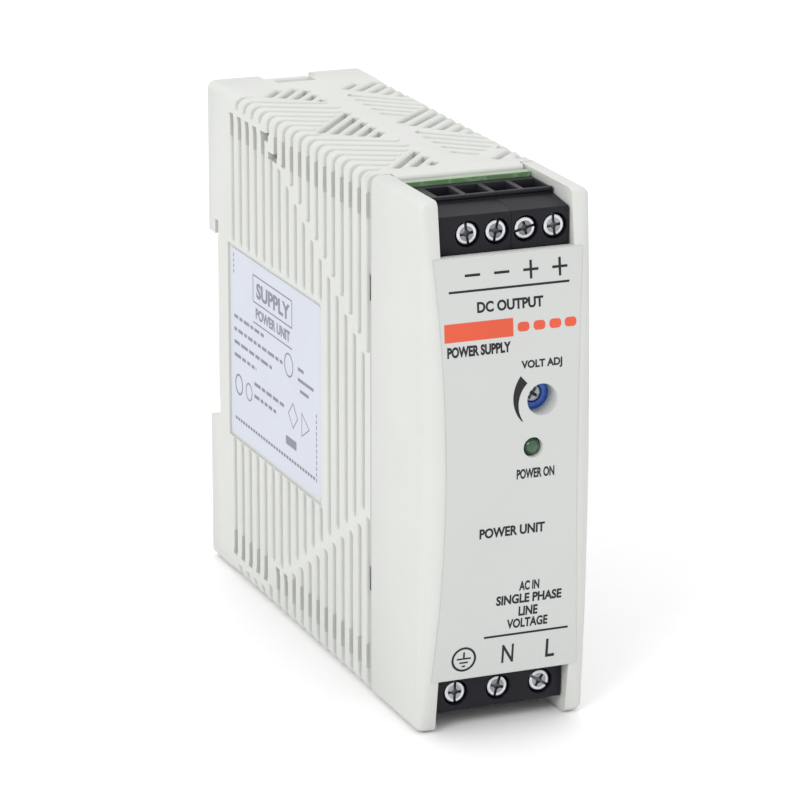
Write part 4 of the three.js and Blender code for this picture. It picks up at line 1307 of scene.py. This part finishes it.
def add_lamp():
    """The indicator: a domed lens on a flange, with two leads."""
    low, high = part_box("indicator_led")
    tip = low.y / MM - SHIFT
    x, z = LED_HOLE[:2]
    radius = LED_RADIUS
    dome = [(radius * math.sin(a), tip + radius * (1 - math.cos(a)))
            for a in (math.pi / 2 * i / 12 for i in range(1, 13))]
    profile = [(0, tip)] + dome + [(radius, -0.4), (1.9, -0.4), (1.9, 0.6), (0, 0.6)]
    mesh = new_mesh("lamp", *turned(profile, (x, z)))
    end = high.y / MM - SHIFT
    half = 0.25
    leads = [block(x + lead - half, x + lead + half, 0.1, end, z - half, z + half) for lead in (-1.27, 1.27)]
    mesh = boolean(mesh, leads, "UNION")
    finish_piece(link("lamp_lens", mesh), LENS, "led_lens", "indicator_led")
    done.add("indicator_led")


def add_rest():
    """Every other node gets its own finish on rounded edges."""
    for node, slot in SLOTS.items():
        if node in done:
            continue
        bevel = 0.0 if node == "latch_spring" else 0.12
        mesh = copied_mesh(node, bevel)
        piece = link(node + "_finish", mesh)
        piece.data.materials.clear()
        piece.data.materials.append(MATERIALS[slot])
        smooth(piece.data)
        if node == "latch_spring":
            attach(piece, BODY)
            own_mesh(piece)
        else:
            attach(piece, BODIES[node])
        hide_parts(node)


# ---------------------------------------------------------------- stage

CAMERA = {"azimuth": -22.195, "elevation": 16.654, "roll": 0.101, "lens": 182.95, "distance": 706.85,
          "right": 2.176, "down": 2.912, "aim": (0, 50, MIDDLE)}
FLOOR_HALF = 6.0
FLOOR_CLEAR = 0.0003
# Lights as (name, place and diameter in metres, power in watts).
LIGHTS = (("key", (-2.5, -2.0, 2.2), 1.6, 46), ("overhead", (0.3, 0.8, 3.0), 2.0, 16))


def add_camera():
    """The photograph's view. The offset from the point that it aims at is in millimetres."""
    azimuth, elevation, roll = (math.radians(CAMERA[angle]) for angle in ("azimuth", "elevation", "roll"))
    look = Vector((-math.sin(azimuth) * math.cos(elevation), math.cos(azimuth) * math.cos(elevation),
                   -math.sin(elevation)))
    level = Vector((math.cos(azimuth), math.sin(azimuth), 0))
    upward = level.cross(look)
    right = level * math.cos(roll) + upward * math.sin(roll)
    up = upward * math.cos(roll) - level * math.sin(roll)
    camera = bpy.data.objects.new("camera", bpy.data.cameras.new("camera"))
    bpy.context.scene.collection.objects.link(camera)
    camera.data.sensor_width = 36
    camera.data.lens = CAMERA["lens"]
    facing = Matrix((right, up, -look)).transposed().to_4x4()
    offset = right * CAMERA["right"] - up * CAMERA["down"] - look * CAMERA["distance"]
    camera.matrix_world = Matrix.Translation(place(CAMERA["aim"]) + offset * MM) @ facing
    camera.data.clip_start = 0.01
    camera.data.clip_end = 50
    bpy.context.scene.camera = camera


def add_light(name, location, target, size, power):
    data = bpy.data.lights.new(name, "AREA")
    data.shape = "DISK"
    data.size = size
    data.energy = power
    light = bpy.data.objects.new(name, data)
    bpy.context.scene.collection.objects.link(light)
    light.location = location
    light.rotation_mode = "QUATERNION"
    light.rotation_quaternion = (Vector(target) - Vector(location)).to_track_quat("-Z", "Y")


def add_stage():
    mesh = bpy.data.meshes.new("floor")
    corners = rectangle(-FLOOR_HALF, FLOOR_HALF, -FLOOR_HALF, FLOOR_HALF, 0)
    mesh.from_pydata(corners, [], [(0, 1, 2, 3)])
    floor = link("floor", mesh)
    floor.location.z = cad_low.z - FLOOR_CLEAR
    paper = moulded("floor_paper", (0.93, 0.93, 0.93), 0.8, grain=300, relief=0.02, spread=0.004)
    floor.data.materials.append(paper)
    world = bpy.data.worlds.new("studio")
    world.use_nodes = True
    world.node_tree.nodes["Background"].inputs["Color"].default_value = (1, 1, 1, 1)
    world.node_tree.nodes["Background"].inputs["Strength"].default_value = 1.0
    bpy.context.scene.world = world
    bpy.context.scene.view_settings.view_transform = "Standard"
    for name, location, size, power in LIGHTS:
        add_light(name, location, (0, 0, MIDDLE * MM), size, power)


add_camera()
add_stage()
build_housing()
build_cover()
build_film()
add_front_prints()
add_label()
add_terminals()
add_boards()
add_trimmer_rotor()
add_lamp()
add_rest()
